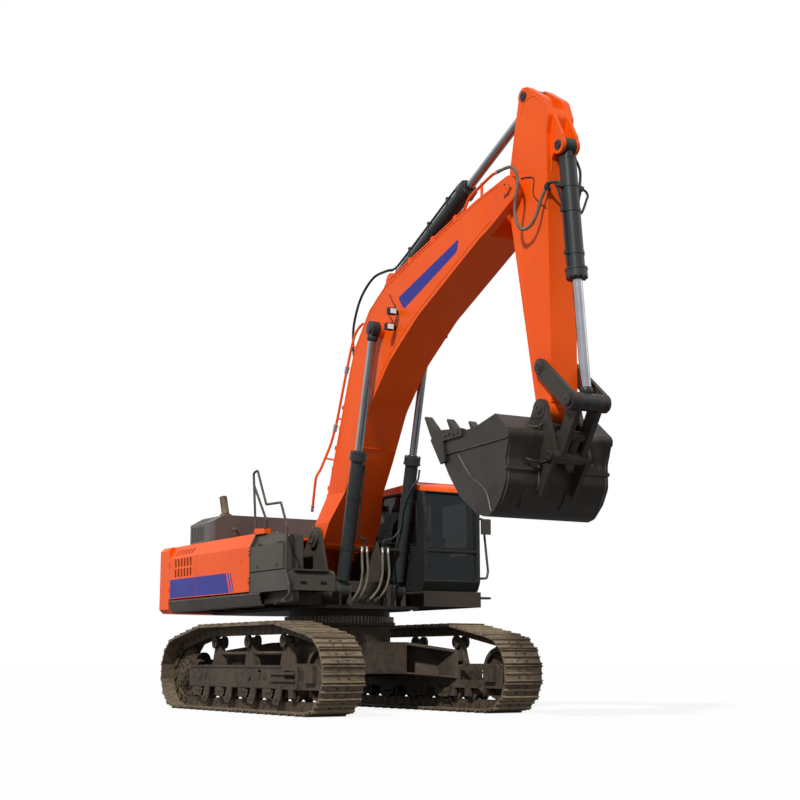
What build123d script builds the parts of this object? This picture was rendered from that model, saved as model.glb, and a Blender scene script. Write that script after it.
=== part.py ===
from build123d import *
import math
import os

# Crawler excavator of the 42 tonne class, in millimetres.
# +X is forward, +Y is left and +Z is up. The origin is on the ground, on the slewing axis.

# Running clearances
PIN_FIT = 0.05          # radial play of every pin in its bore
SEAT = 0.3              # play between curved faces that only touch
SIDE_GAP = 6.0          # play beside an eye that swings between two cheeks
PANEL_GAP = 8.0         # shut line round doors and lids

# Tracks
GAUGE = 2730.0          # between the centres of the two tracks
SHOE_WIDTH = 600.0
TRACK_LENGTH = 5378.0   # over the grousers
TRACK_HEIGHT = 1223.0   # top run over the grousers
WHEEL_HEIGHT = 1060.0   # loop height at the idler and at the sprocket
TOP_RUN = TRACK_LENGTH - 2878.0     # level part of the top run, between the outer carrier rollers
GROUSER = 34.0
SHOE_PLATE = 16.0
LINK_HEIGHT = 122.0
LINK_WIDTH = 46.0       # thickness of one row of links
LINK_SPREAD = 190.0     # over both rows of links
SHOES = 52
SPROCKET_TEETH = 22
SPROCKET_HALF = 38.0

# Track frames
FRAME_WIDTH = 380.0
FRAME_LOW = 330.0
FRAME_TOP = 640.0
FRAME_REAR = 909.0 - TRACK_LENGTH / 2
FRAME_WALL = 18.0
FRAME_PLATE_END = TRACK_LENGTH / 2 - 269.0      # front end of the plates beside the idler
FRAME_BOX_END = FRAME_PLATE_END - 1080.0        # front end of the closed box
CHANNEL_ROOF = 385.0        # underside of the box above the rollers
ROLLERS = 9
ROLLER_RADIUS = 98.0
ROLLER_LAST = TRACK_LENGTH / 2 - 1129.0
ROLLER_SHAFT = 32.0
CARRIERS = 3
CARRIER_SPAN = TOP_RUN - 260.0
CARRIER_RADIUS = 88.0
CARRIER_SHAFT = 30.0
GUARD_LOW = 205.0

# Centre section under the slewing ring
CARBODY_LOW = 520.0
CARBODY_TOP = 960.0
CARBODY_HALF_LENGTH = 760.0
CARBODY_HALF_WIDTH = 700.0
LEG_REACH = 1150.0
RING_RADIUS = 790.0
RING_BORE = 560.0
RING_LOW = 1225.0
RING_TEETH = 90
RACE_HEIGHT = 92.0

# Revolving frame
FRAME_PLATE_LOW = 1410.0
FRAME_PLATE = 45.0
FRAME_HALF = 740.0
FRAME_NOSE = 985.0
FRAME_TAIL = -2850.0
SILL_TOP = 1625.0
SIDE = 1495.0           # half width of the house
TOWER_INNER = 432.0     # inner face of the two boom towers
TOWER_PLATE = 40.0
TOWER_BOSS = 45.0       # the cast boss round the boom's foot pin stands out this far

# House
HOUSE_TOP = 2460.0
TAIL_RADIUS = 3600.0
WEIGHT_FRONT = -2850.0
WEIGHT_LOW = 1430.0
DOOR = 50.0             # thickness of the side doors
DOOR_SPLIT = -1750.0
DOOR_FRONT = 110.0
SHOULDER = 2270.0       # height where the side starts to lean in
LEAN = 95.0
LIFT_HOLE = 28.0
HOOD_TOP = 2915.0
HOOD_SIDE = 2800.0      # height where the sides start to lean in
HOOD_REAR = -2740.0
HOOD_FRONT = -1900.0
HOOD_HALF = 1200.0
HOOD_LEAN = 200.0
HOOD_SKIN = 30.0
COVER_FRONT = -140.0
STACK = (-2090.0, -890.0)

# Cab
CAB_RIGHT = 552.0
CAB_LEFT = 1495.0
CAB_REAR = -440.0
CAB_FRONT = 1450.0
CAB_FLOOR = 1662.0
CAB_ROOF = 3195.0
CAB_WALL = 60.0

# Boom
BOOM_FOOT = (120.0, 2420.0)
BOOM_TIP = (4790.0, 6350.0)
BOOM_HALF = 310.0
FOOT_HALF = 420.0
BOOM_SKIN = 20.0
FOOT_RADIUS = 165.0
TIP_RADIUS = 180.0
BOOM_ROD_PIN = (1740.0, 5200.0)
ARM_CYL_PIN = (1640.0, 5950.0)

# Boom cylinders
CYL_FOOT = (880.0, 1660.0)
CYL_Y = 438.0
CYL_EYE_WIDTH = 58.0      # half width of the boom cylinders' eyes
CYL_LUG = 30.0
CYL_RADIUS = 92.0
CYL_ROD = 55.0
CYL_BARREL = 1930.0
CYL_EYE = 105.0
CYL_EYE_HALF = 75.0

# Arm
ARM_HALF = 190.0
ARM_SKIN = 22.0
ARM_TOP_PIN = (4990.0, 7510.0)
ARM_TIP = (5302.0, 3566.0)
ROCKER_PIN = (5312.0, 4068.0)
BUCKET_CYL_PIN = (5580.0, 6720.0)
LINK_PIN = (5865.0, 3585.0)
BUCKET_LINK_PIN = (5500.0, 3000.0)

# Arm and bucket cylinders
ARM_CYL_RADIUS = 108.0
ARM_ROD = 58.0
ARM_BARREL = 2030.0
BUCKET_CYL_RADIUS = 104.0
BUCKET_ROD = 60.0
BUCKET_BARREL = 1660.0

# Bucket
BUCKET_HALF = 740.0
BUCKET_SKIN = 25.0
EAR_INNER = 206.0
EAR_PLATE = 56.0
TEETH = 5

HINGE_PIN = 8.0
KNUCKLE = 16.0          # outer radius of the door hinges
LEAF = 39.0             # height of one knuckle
HINGE_OUT = 5.0         # the hinge line stands this far outside the doors
PIN = 50.0              # radius of the large pins
RAIL = 17.0             # radius of the handrails


def xz_plane(y_front):
    """Plane whose sketch reads x to the right and z up, facing -Y."""
    return Plane(origin=(0, y_front, 0), x_dir=(1, 0, 0), z_dir=(0, -1, 0))


def plate(face, y_low, y_high):
    """A face drawn in x and z, given its thickness from y_low to y_high."""
    return extrude(xz_plane(y_high) * face, y_high - y_low)


def section(face, x_low, x_high):
    """A face drawn in y and z, drawn out from x_low to x_high."""
    plane = Plane(origin=(x_low, 0, 0), x_dir=(0, 1, 0), z_dir=(1, 0, 0))
    return extrude(plane * face, x_high - x_low)


def block(x_low, x_high, y_low, y_high, z_low, z_high):
    size = (x_high - x_low, y_high - y_low, z_high - z_low)
    middle = ((x_low + x_high) / 2, (y_low + y_high) / 2, (z_low + z_high) / 2)
    return Pos(*middle) * Box(*size)


def outline(*points):
    return make_face(Polyline(*points, close=True))


def disc(centre, radius):
    return Pos(*centre) * Circle(radius)


def bar_y(centre, radius, y_low, y_high):
    """Round bar along Y at a point given in x and z."""
    return plate(disc(centre, radius), y_low, y_high)


def strap(first, first_radius, second, second_radius):
    """Flat link: two discs and the two lines that touch both."""
    dx = second[0] - first[0]
    dz = second[1] - first[1]
    length = math.hypot(dx, dz)
    turn = math.atan2(dz, dx)
    open_angle = math.acos((first_radius - second_radius) / length)
    corners = []
    for centre, radius, side in ((first, first_radius, 1), (second, second_radius, 1),
                                 (second, second_radius, -1), (first, first_radius, -1)):
        angle = turn + side * open_angle
        corners.append((centre[0] + radius * math.cos(angle), centre[1] + radius * math.sin(angle)))
    return outline(*corners) + disc(first, first_radius) + disc(second, second_radius)


def rounded(face, corner, radius):
    """Round the corner of a face that lies nearest to a point."""
    nearest = face.vertices().sort_by_distance(Vector(corner[0], corner[1], 0))[0]
    return fillet(nearest, radius)


def between(first, second, share):
    return tuple(a + (b - a) * share for a, b in zip(first, second))


def cylinder_between(start, end, radius, y):
    """Round bar from one x, z point to another at one y."""
    length = math.dist(start, end)
    axis = Plane(origin=(start[0], y, start[1]), z_dir=(end[0] - start[0], 0, end[1] - start[1]))
    return axis * (Pos(0, 0, length / 2) * Cylinder(radius, length))


def along(start, end, distance):
    """The point at a distance from start on the line to end."""
    return between(start, end, distance / math.dist(start, end))


def mirror_y(shape):
    return shape + mirror(shape, Plane.XZ)


def upright_hinge(x, y, levels, inward):
    """Hinges of one door on an upright line: the lugs with their pin, the knuckles, and the room that each needs."""
    half = LEAF / 2
    lug = Pos(x, y) * Circle(KNUCKLE) + make_face(Polyline(
        (x, y), (x, y + inward[1] * 24), (x + inward[0] * KNUCKLE, y + inward[1] * 24), (x + inward[0] * KNUCKLE, y),
        close=True))
    ring = Pos(x, y) * (Circle(KNUCKLE) - Circle(HINGE_PIN + PIN_FIT))
    room = Pos(x, y) * Circle(KNUCKLE + 2)
    lugs, knuckles, room_in_frame, room_in_door = [], [], [], []
    for z in levels:
        lugs.append(extrude(Plane.XY.offset(z - half - 15) * lug, 14.5))
        lugs.append(extrude(Plane.XY.offset(z + half + 0.5) * lug, 14.5))
        lugs.append(Pos(x, y, z) * Cylinder(HINGE_PIN, LEAF + 4))
        knuckles.append(extrude(Plane.XY.offset(z - half) * ring, LEAF))
        room_in_frame.append(extrude(Plane.XY.offset(z - half - 0.5) * room, LEAF + 1))
        room_in_door.append(extrude(Plane.XY.offset(z - half - 16) * room, LEAF + 32))
    return lugs, knuckles, room_in_frame, room_in_door


def level_hinge(across, origin, first, second, radius, lug_face, leaf_face):
    """Hinge on a level line: lugs and pin of the fixed side, knuckle and leaf of the lid, between two distances."""
    half = (second - first) / 2
    ring = Pos(*origin) * (Circle(radius) - Circle(radius / 2 + PIN_FIT))
    knuckle = across(ring + (leaf_face - Pos(*origin) * Circle(radius - 1)), first + 0.5, second - 0.5)
    lug = lug_face + Pos(*origin) * Circle(radius)
    fixed = across(lug, first - 14, first) + across(lug, second, second + 14)
    return fixed + across(Pos(*origin) * Circle(radius / 2), first - 1, second + 1), knuckle


def save(name, shape):
    shape.label = name
    export_step(shape, "parts/" + name + ".step")


os.makedirs("parts", exist_ok=True)


# Track loops
WHEEL_X = TRACK_LENGTH / 2 - WHEEL_HEIGHT / 2
WHEEL_Z = WHEEL_HEIGHT / 2
PLATE_RADIUS = WHEEL_HEIGHT / 2 - GROUSER
PLATE_TOP = TRACK_HEIGHT - GROUSER


def loop_wire():
    """The line on which the shoe plates' outer faces lie, seen from the side."""
    rise = PLATE_TOP - WHEEL_Z
    run = WHEEL_X - TOP_RUN / 2
    angle = math.pi - math.atan2(rise, run) - math.acos(PLATE_RADIUS / math.hypot(run, rise))
    touch = (WHEEL_X + PLATE_RADIUS * math.cos(angle), WHEEL_Z + PLATE_RADIUS * math.sin(angle))
    nose = (WHEEL_X + PLATE_RADIUS * math.cos(angle / 2 - math.pi / 4),
            WHEEL_Z + PLATE_RADIUS * math.sin(angle / 2 - math.pi / 4))
    bend = (TOP_RUN / 2, PLATE_TOP)
    edges = [Line((-WHEEL_X, GROUSER), (WHEEL_X, GROUSER)),
             ThreePointArc((WHEEL_X, GROUSER), nose, touch),
             Line(touch, bend),
             Line(bend, (-bend[0], bend[1])),
             Line((-bend[0], bend[1]), (-touch[0], touch[1])),
             ThreePointArc((-touch[0], touch[1]), (-nose[0], nose[1]), (-WHEEL_X, GROUSER))]
    return Wire(edges)


def inner_line(corners, depth):
    """A closed line of straight links moved inwards by a depth."""
    moved = []
    count = len(corners)
    for index, corner in enumerate(corners):
        before = (corner - corners[index - 1]).normalized()
        after = (corners[(index + 1) % count] - corner).normalized()
        inward_before = Vector(-before.Y, before.X)
        inward_after = Vector(-after.Y, after.X)
        middle = (inward_before + inward_after).normalized()
        moved.append(corner + middle * (depth / middle.dot(inward_before)))
    return moved


LOOP = loop_wire()
SHOE_ENDS = [LOOP.position_at(index / SHOES) for index in range(SHOES)]
SHOE_PITCH = (SHOE_ENDS[1] - SHOE_ENDS[0]).length
LINK_TREAD = PLATE_RADIUS * math.cos(math.asin(SHOE_PITCH / 2 / PLATE_RADIUS)) - SHOE_PLATE - LINK_HEIGHT


def track_loop():
    """Shoes with three grousers each, and the two rows of links inside them."""
    ridge = ((0.03, 0), (0.07, 1), (0.12, 0), (0.46, 0), (0.50, 1), (0.54, 0), (0.88, 0), (0.93, 1), (0.97, 0))
    points = []
    for index, start in enumerate(SHOE_ENDS):
        step = SHOE_ENDS[(index + 1) % SHOES] - start
        outward = Vector(step.Y, -step.X).normalized()
        for share, height in ridge:
            points.append(start + step * share + outward * (height * GROUSER))
    under_plate = inner_line(SHOE_ENDS, SHOE_PLATE)
    under_link = inner_line(SHOE_ENDS, SHOE_PLATE + LINK_HEIGHT)
    band = make_face(Polyline(*points, close=True)) - make_face(Polyline(*under_plate, close=True))
    links = make_face(Polyline(*under_plate, close=True)) - make_face(Polyline(*under_link, close=True))
    loop = plate(band, -SHOE_WIDTH / 2, SHOE_WIDTH / 2)
    for side in (-1, 1):
        outer = side * LINK_SPREAD / 2
        inner = side * (LINK_SPREAD / 2 - LINK_WIDTH)
        loop += plate(links, min(outer, inner), max(outer, inner))
    return loop


def both_tracks(shape):
    """A shape made about the middle of one track, set in both."""
    return Pos(0, GAUGE / 2, 0) * shape + Pos(0, -GAUGE / 2, 0) * mirror(shape, Plane.XZ)


loop = track_loop()
save("track_loop_left", Pos(0, GAUGE / 2, 0) * loop)
save("track_loop_right", Pos(0, -GAUGE / 2, 0) * loop)

# Wheels of one track. The shape's own left side is the outer side of the machine.
LINK_INNER = LINK_SPREAD / 2 - LINK_WIDTH
TREAD = LINK_TREAD - SEAT
LINK_FLOOR = GROUSER + SHOE_PLATE + LINK_HEIGHT
ROLLER_Z = LINK_FLOOR + ROLLER_RADIUS + SEAT
CARRIER_Z = PLATE_TOP - SHOE_PLATE - LINK_HEIGHT - CARRIER_RADIUS - SEAT
FRAME_HALF_WIDTH = FRAME_WIDTH / 2
HUB = 250.0
AXLE = 62.0


def sprocket_face():
    root = TREAD - 14
    tip = TREAD + 62
    corners = []
    for tooth in range(SPROCKET_TEETH):
        for share, radius in ((0.0, root), (0.22, root), (0.40, tip), (0.60, tip), (0.78, root)):
            angle = 2 * math.pi * (tooth + share) / SPROCKET_TEETH
            corners.append((-WHEEL_X + radius * math.cos(angle), WHEEL_Z + radius * math.sin(angle)))
    return outline(*corners) - disc((-WHEEL_X, WHEEL_Z), HUB)


save("sprockets", both_tracks(plate(sprocket_face(), -SPROCKET_HALF, SPROCKET_HALF)))

hub = bar_y((-WHEEL_X, WHEEL_Z), HUB, -FRAME_HALF_WIDTH - 40, 60)
hub += bar_y((-WHEEL_X, WHEEL_Z), 205, 60, 135)
hub = chamfer(hub.faces().sort_by(Axis.Y)[-1].edges(), 30)
hub += bar_y((-WHEEL_X, WHEEL_Z), 190, -FRAME_HALF_WIDTH - 230, -FRAME_HALF_WIDTH - 40)
save("final_drives", both_tracks(hub))

idler = bar_y((WHEEL_X, WHEEL_Z), TREAD, -LINK_SPREAD / 2, LINK_SPREAD / 2)
idler += bar_y((WHEEL_X, WHEEL_Z), TREAD + 24, -LINK_INNER + 3, LINK_INNER - 3)
for side in (-1, 1):
    idler -= plate(disc((WHEEL_X, WHEEL_Z), TREAD - 55) - disc((WHEEL_X, WHEEL_Z), 125),
                   min(side * 30, side * LINK_SPREAD), max(side * 30, side * LINK_SPREAD))
idler += bar_y((WHEEL_X, WHEEL_Z), AXLE, -FRAME_HALF_WIDTH + FRAME_WALL, FRAME_HALF_WIDTH - FRAME_WALL)
save("idlers", both_tracks(idler))

roller = bar_y((0, ROLLER_Z), ROLLER_RADIUS, -LINK_SPREAD / 2, LINK_SPREAD / 2)
roller -= plate(disc((0, ROLLER_Z), ROLLER_RADIUS + 1) - disc((0, ROLLER_Z), 72), -LINK_INNER + 6, LINK_INNER - 6)
for side in (-1, 1):
    roller += bar_y((0, ROLLER_Z), ROLLER_RADIUS + 16,
                    min(side * (LINK_SPREAD / 2 + 1.5), side * (LINK_SPREAD / 2 + 16)),
                    max(side * (LINK_SPREAD / 2 + 1.5), side * (LINK_SPREAD / 2 + 16)))
roller += bar_y((0, ROLLER_Z), ROLLER_SHAFT, -FRAME_HALF_WIDTH + 6, FRAME_HALF_WIDTH - 6)
ROLLER_STEP = 2 * ROLLER_LAST / (ROLLERS - 1)
ROLLER_PLACES = [index * ROLLER_STEP - ROLLER_LAST for index in range(ROLLERS)]
rollers = [Pos(place, side * GAUGE / 2, 0) * roller for place in ROLLER_PLACES for side in (-1, 1)]

carrier = bar_y((0, CARRIER_Z), CARRIER_RADIUS, LINK_INNER, LINK_SPREAD / 2)
carrier += bar_y((0, CARRIER_Z), CARRIER_RADIUS, -LINK_SPREAD / 2, -LINK_INNER)
carrier += bar_y((0, CARRIER_Z), CARRIER_SHAFT, -LINK_SPREAD / 2 - 12, LINK_SPREAD / 2 + 12)
CARRIER_PLACES = [(index / (CARRIERS - 1) - 0.5) * CARRIER_SPAN for index in range(CARRIERS)]
rollers += [Pos(place, side * GAUGE / 2, 0) * carrier for place in CARRIER_PLACES for side in (-1, 1)]
save("track_rollers", Compound(children=rollers))


def track_frame(outer):
    """Box beam over the rollers, with plates beside the idler and posts for the carrier rollers.

    outer is 1 on the left track and -1 on the right one, where the drive's mount faces the other way.
    """
    half = FRAME_HALF_WIDTH
    wall = FRAME_WALL
    side_face = outline((FRAME_REAR, FRAME_LOW), (FRAME_PLATE_END, FRAME_LOW), (FRAME_PLATE_END, 560),
                        (FRAME_PLATE_END - 160, FRAME_TOP + 20), (FRAME_BOX_END + 160, FRAME_TOP + 20),
                        (FRAME_BOX_END - 40, FRAME_TOP), (FRAME_REAR, FRAME_TOP))
    slot = (FRAME_BOX_END + 40, FRAME_PLATE_END - 380)
    side_face -= outline((slot[0], 440), (slot[1], 440), (slot[1], 570), (slot[0], 570))
    side_face -= disc((620, 530), 55)
    frame = plate(side_face, half - wall, half) + plate(side_face, -half, wall - half)
    frame += block(FRAME_REAR, FRAME_BOX_END, wall - half, half - wall, CHANNEL_ROOF, CHANNEL_ROOF + wall)
    frame += block(FRAME_REAR, FRAME_BOX_END, wall - half, half - wall, FRAME_TOP - wall, FRAME_TOP)
    frame += block(FRAME_BOX_END - wall, FRAME_BOX_END, wall - half, half - wall, CHANNEL_ROOF, FRAME_TOP)
    for side in (-1, 1):
        cheek = block(WHEEL_X - 120, WHEEL_X + 120, -28, 28, WHEEL_Z - 110, WHEEL_Z + 110)
        frame += Pos(0, side * (half + 28), 0) * cheek
    inner_side = sorted((outer * (-half - 30), outer * (wall - half)))
    drive_mount = plate(disc((-WHEEL_X, WHEEL_Z), HUB + 45) + outline(
        (-WHEEL_X, WHEEL_Z - 200), (FRAME_REAR + 40, FRAME_LOW), (FRAME_REAR + 40, FRAME_TOP),
        (-WHEEL_X, WHEEL_Z + 250)), *inner_side)
    frame += drive_mount - bar_y((-WHEEL_X, WHEEL_Z), HUB, -half - 40, half + 40)
    for place in ROLLER_PLACES:
        for low, high in ((-half, -half + 45), (half - 45, half)):
            frame += block(place - 62, place + 62, low, high, ROLLER_Z - 55, FRAME_LOW + 20)
        frame -= bar_y((place, ROLLER_Z), ROLLER_SHAFT + PIN_FIT, -half + 6, half - 6)
    for index in range(0, ROLLERS - 1, 2):
        middle = ROLLER_PLACES[index] + ROLLER_STEP / 2
        guard = outline((middle - 190, FRAME_LOW + 5), (middle - 120, GUARD_LOW), (middle + 120, GUARD_LOW),
                        (middle + 190, FRAME_LOW + 5))
        for shift in (-75, 0, 75):
            guard -= disc((middle + shift, GUARD_LOW + 55), 22)
        frame += plate(guard, half, half + wall)
        frame += plate(guard, -half - wall, -half)
    for place in CARRIER_PLACES:
        post = outline((place - 170, FRAME_TOP), (place + 170, FRAME_TOP), (place + 62, CARRIER_Z - 20),
                       (place - 62, CARRIER_Z - 20)) + disc((place, CARRIER_Z), 62)
        post = plate(post, -LINK_INNER + 5, LINK_INNER - 5)
        frame += post - bar_y((place, CARRIER_Z), CARRIER_SHAFT + PIN_FIT, -LINK_SPREAD, LINK_SPREAD)
    reach = CARRIER_PLACES[-1] - CARRIER_PLACES[0]
    frame += Pos(0, 0, 800) * Rot(0, 90, 0) * Cylinder(26, reach - 40)
    return frame


save("track_frame_left", Pos(0, GAUGE / 2, 0) * track_frame(1))
save("track_frame_right", Pos(0, -GAUGE / 2, 0) * track_frame(-1))

# Centre section: a box with four legs, and the tower that carries the slewing ring
LEG_END = GAUGE / 2 - FRAME_HALF_WIDTH


def rectangle_at(y, x_low, x_high, z_low, z_high):
    return xz_plane(y) * outline((x_low, z_low), (x_high, z_low), (x_high, z_high), (x_low, z_high))


carbody = block(-CARBODY_HALF_LENGTH, CARBODY_HALF_LENGTH, -CARBODY_HALF_WIDTH, CARBODY_HALF_WIDTH,
                CARBODY_LOW, CARBODY_TOP)
leg = loft([rectangle_at(CARBODY_HALF_WIDTH, 230, CARBODY_HALF_LENGTH, CARBODY_LOW, CARBODY_TOP),
            rectangle_at(LEG_END, LEG_REACH - 330, LEG_REACH + 190, CARBODY_LOW - 60, 850)])
legs = leg + mirror(leg, Plane.YZ)
carbody += legs + mirror(legs, Plane.XZ)
hollow = loft([rectangle_at(CARBODY_HALF_WIDTH - 40, 260, CARBODY_HALF_LENGTH - 25, CARBODY_LOW + 25, CARBODY_TOP - 30),
               rectangle_at(LEG_END - 30, LEG_REACH - 300, LEG_REACH + 160, CARBODY_LOW - 35, 820)])
hollow += mirror(hollow, Plane.YZ)
carbody -= hollow + mirror(hollow, Plane.XZ)
carbody += Pos(0, 0, (CARBODY_TOP + RING_LOW) / 2) * Cylinder(RING_RADIUS - 50, RING_LOW - CARBODY_TOP)
carbody += Pos(0, 0, RING_LOW - 17) * Cylinder(RING_RADIUS + 20, 34)
carbody -= Pos(0, 0, RING_LOW - 200) * Cylinder(RING_BORE, 500)
carbody -= block(-CARBODY_HALF_LENGTH + 25, CARBODY_HALF_LENGTH - 25, -CARBODY_HALF_WIDTH + 25,
                 CARBODY_HALF_WIDTH - 25, CARBODY_LOW + 25, CARBODY_TOP - 30)
save("carbody", carbody)


def ring_face():
    corners = []
    for tooth in range(RING_TEETH):
        for share, radius in ((0.0, RING_RADIUS - 22), (0.3, RING_RADIUS - 22), (0.5, RING_RADIUS), (0.8, RING_RADIUS)):
            angle = 2 * math.pi * (tooth + share) / RING_TEETH
            corners.append((radius * math.cos(angle), radius * math.sin(angle)))
    return make_face(Polyline(*corners, close=True)) - Circle(RING_BORE + 60)


ring = extrude(Plane.XY.offset(RING_LOW) * ring_face(), RACE_HEIGHT)
save("slewing_ring", ring)

# Revolving frame: base plate, race, boom towers, cylinder lugs and the decks at both sides
def tower_face():
    foot_x, foot_z = BOOM_FOOT
    low = FRAME_PLATE_LOW + FRAME_PLATE
    body = outline((-900, low), (640, low), (560, 1700), (foot_x + 172, foot_z + 30),
                   (foot_x - 150, foot_z + 70), (-560, 1900), (-900, 1640))
    return body + disc(BOOM_FOOT, 178)


def lug_face():
    x, z = CYL_FOOT
    base = outline((x - 190, FRAME_PLATE_LOW + FRAME_PLATE), (FRAME_NOSE, FRAME_PLATE_LOW + FRAME_PLATE),
                   (x + 96, z), (x - 96, z))
    return base + disc(CYL_FOOT, 108)


deck_top = FRAME_PLATE_LOW + FRAME_PLATE
frame = block(FRAME_TAIL, FRAME_NOSE, -FRAME_HALF, FRAME_HALF, FRAME_PLATE_LOW, deck_top)
race_low = RING_LOW + RACE_HEIGHT + SEAT
frame += Pos(0, 0, (race_low + FRAME_PLATE_LOW) / 2) * Cylinder(RING_RADIUS - 60, FRAME_PLATE_LOW - race_low)
frame -= Pos(0, 0, FRAME_PLATE_LOW) * Cylinder(RING_BORE, 400)
towers = block(430, 470, -TOWER_INNER, TOWER_INNER, deck_top, 1820) - block(
    420, 480, -180, 180, deck_top - 1, 1660)
towers += block(-760, -720, -TOWER_INNER, TOWER_INNER, deck_top, 1700)
lugs = []
for side in (-1, 1):
    tower = plate(tower_face(), *sorted((side * TOWER_INNER, side * (TOWER_INNER + TOWER_PLATE))))
    tower += bar_y(BOOM_FOOT, 125, *sorted((side * (TOWER_INNER + 5), side * (TOWER_INNER + TOWER_PLATE + TOWER_BOSS))))
    towers += tower - bar_y(BOOM_FOOT, PIN + PIN_FIT, *sorted((side * (TOWER_INNER - 1), side * 600)))
    for inner in (CYL_EYE_WIDTH + SIDE_GAP, -CYL_EYE_WIDTH - SIDE_GAP - CYL_LUG):
        low = side * CYL_Y + inner
        lugs.append(plate(lug_face(), low, low + CYL_LUG) - bar_y(CYL_FOOT, PIN + PIN_FIT, low - 1, low + CYL_LUG + 1))
    rail_low = min(side * (SIDE - 180), side * (SIDE - 100))
    front = CAB_FRONT - 30 if side > 0 else 1290
    frame += block(-2700, front, rail_low, rail_low + 80, 1470, SILL_TOP)
    for cross in (-2500, -1500, -560, 700):
        wide = sorted((side * (FRAME_HALF - 30), side * (SIDE - 100)))
        frame += block(cross, cross + 90, wide[0], wide[1], 1450, SILL_TOP)
    wall_low = side * 470 - 15
    frame += block(FRAME_TAIL, -905, wall_low, wall_low + 30, deck_top, deck_top + 50)
save("revolving_frame", frame)
save("boom_towers", Compound(children=[towers, *lugs]))

deck = block(-400, CAB_FRONT, CAB_RIGHT, SIDE - 12, SILL_TOP, SILL_TOP + 30)
deck += block(-400, CAB_FRONT, SIDE - 10, SIDE, 1440, SILL_TOP + 30)
deck += block(CAB_FRONT - 12, CAB_FRONT, CAB_RIGHT, SIDE - 10, 1440, SILL_TOP + 30)
deck += block(CAB_FRONT - 120, CAB_FRONT - 10, SIDE - 5, SIDE + 180, 1560, 1590)
for x in (-300, 1250):
    for y in (CAB_RIGHT + 100, CAB_LEFT - 120):
        deck += Pos(x, y, (SILL_TOP + 30 + CAB_FLOOR) / 2) * Cylinder(60, CAB_FLOOR - SILL_TOP - 30)
save("cab_deck", deck)


def pin_y(centre, radius, y_low, y_high, cap, cap_side=0):
    """Pin with a round cap on one end or on both."""
    pin = bar_y(centre, radius, y_low, y_high)
    if cap_side <= 0:
        pin += bar_y(centre, radius + 14, y_low - cap, y_low)
    if cap_side >= 0:
        pin += bar_y(centre, radius + 14, y_high, y_high + cap)
    return pin


tower_reach = TOWER_INNER + TOWER_PLATE + TOWER_BOSS
foot_pins = [pin_y(BOOM_FOOT, PIN, -tower_reach, tower_reach, 10)]
lug_reach = CYL_EYE_WIDTH + SIDE_GAP + CYL_LUG
for side in (-1, 1):
    foot_pins.append(pin_y(CYL_FOOT, PIN, side * CYL_Y - lug_reach, side * CYL_Y + lug_reach, 8))
save("frame_pins", Compound(children=foot_pins))

# Counterweight: its back lies on the circle that the tail sweeps
weight_plan = outline((WEIGHT_FRONT, -SIDE), (WEIGHT_FRONT, SIDE), (-4000, SIDE), (-4000, -SIDE)) & Circle(TAIL_RADIUS)
weight = extrude(Plane.XY.offset(WEIGHT_LOW) * weight_plan, HOUSE_TOP - WEIGHT_LOW)
rear_edges = weight.edges().filter_by(Axis.Z).sort_by(Axis.X)[:2]
weight = fillet(rear_edges, 110)
weight = chamfer(weight.faces().sort_by(Axis.Z)[-1].edges().sort_by(Axis.X)[:-1], 55)
weight = chamfer(weight.faces().sort_by(Axis.Z)[0].edges().sort_by(Axis.X)[:-1], 60)
weight -= block(-3200, WEIGHT_FRONT, -930, 930, 1560, HOUSE_TOP - 90)
for side in (-1, 1):
    eye = outline((-3190, HOUSE_TOP - 20), (-3030, HOUSE_TOP - 20), (-3070, HOUSE_TOP + 75), (-3150, HOUSE_TOP + 75))
    eye += disc((-3110, HOUSE_TOP + 65), 52)
    weight += plate(eye - disc((-3110, HOUSE_TOP + 65), LIFT_HOLE), side * 620 - 20, side * 620 + 20)
HINGE_LEVELS = (1800.0, 2180.0)
rear_hinge_x = WEIGHT_FRONT + PANEL_GAP / 2
right_rear_hinge = upright_hinge(rear_hinge_x, -SIDE - HINGE_OUT, HINGE_LEVELS, (-1, 1))
left_rear_hinge = upright_hinge(rear_hinge_x, SIDE + HINGE_OUT, HINGE_LEVELS, (-1, -1))
for hinge in (right_rear_hinge, left_rear_hinge):
    for room in hinge[2]:
        weight -= room
    for lug in hinge[0]:
        weight += lug
save("counterweight", weight)

# House: side doors, top covers, hood and the engine behind them
def side_section(thickness):
    """Section of the right side wall: upright, then leaning in to the shoulder."""
    y = -SIDE
    return outline((y, SILL_TOP + 20), (y, SHOULDER), (y + LEAN, HOUSE_TOP), (y + LEAN + thickness, HOUSE_TOP),
                   (y + thickness, SHOULDER - 12), (y + thickness, SILL_TOP + 20))


def side_door(x_low, x_high, slots):
    door = section(side_section(DOOR), x_low + PANEL_GAP / 2, x_high - PANEL_GAP / 2)
    for row in range(slots):
        for column in range(6):
            left = x_low + 230 + column * 118
            low = 1975 + row * 155
            door -= block(left, left + 62, -SIDE - 5, -SIDE + DOOR + 5, low, low + 120)
            if row > 0:
                slant = outline((left - 20, 2305), (left + 22, 2305), (left + 82, 2395), (left + 40, 2395))
                door -= plate(slant, -SIDE - 5, -SIDE + DOOR + 75)
    return door


def hung(door, hinge):
    """A door with the knuckles of its hinges, and with room for the lugs."""
    for room in hinge[3]:
        door -= room
    for knuckle in hinge[1]:
        door += knuckle
    return door


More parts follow.
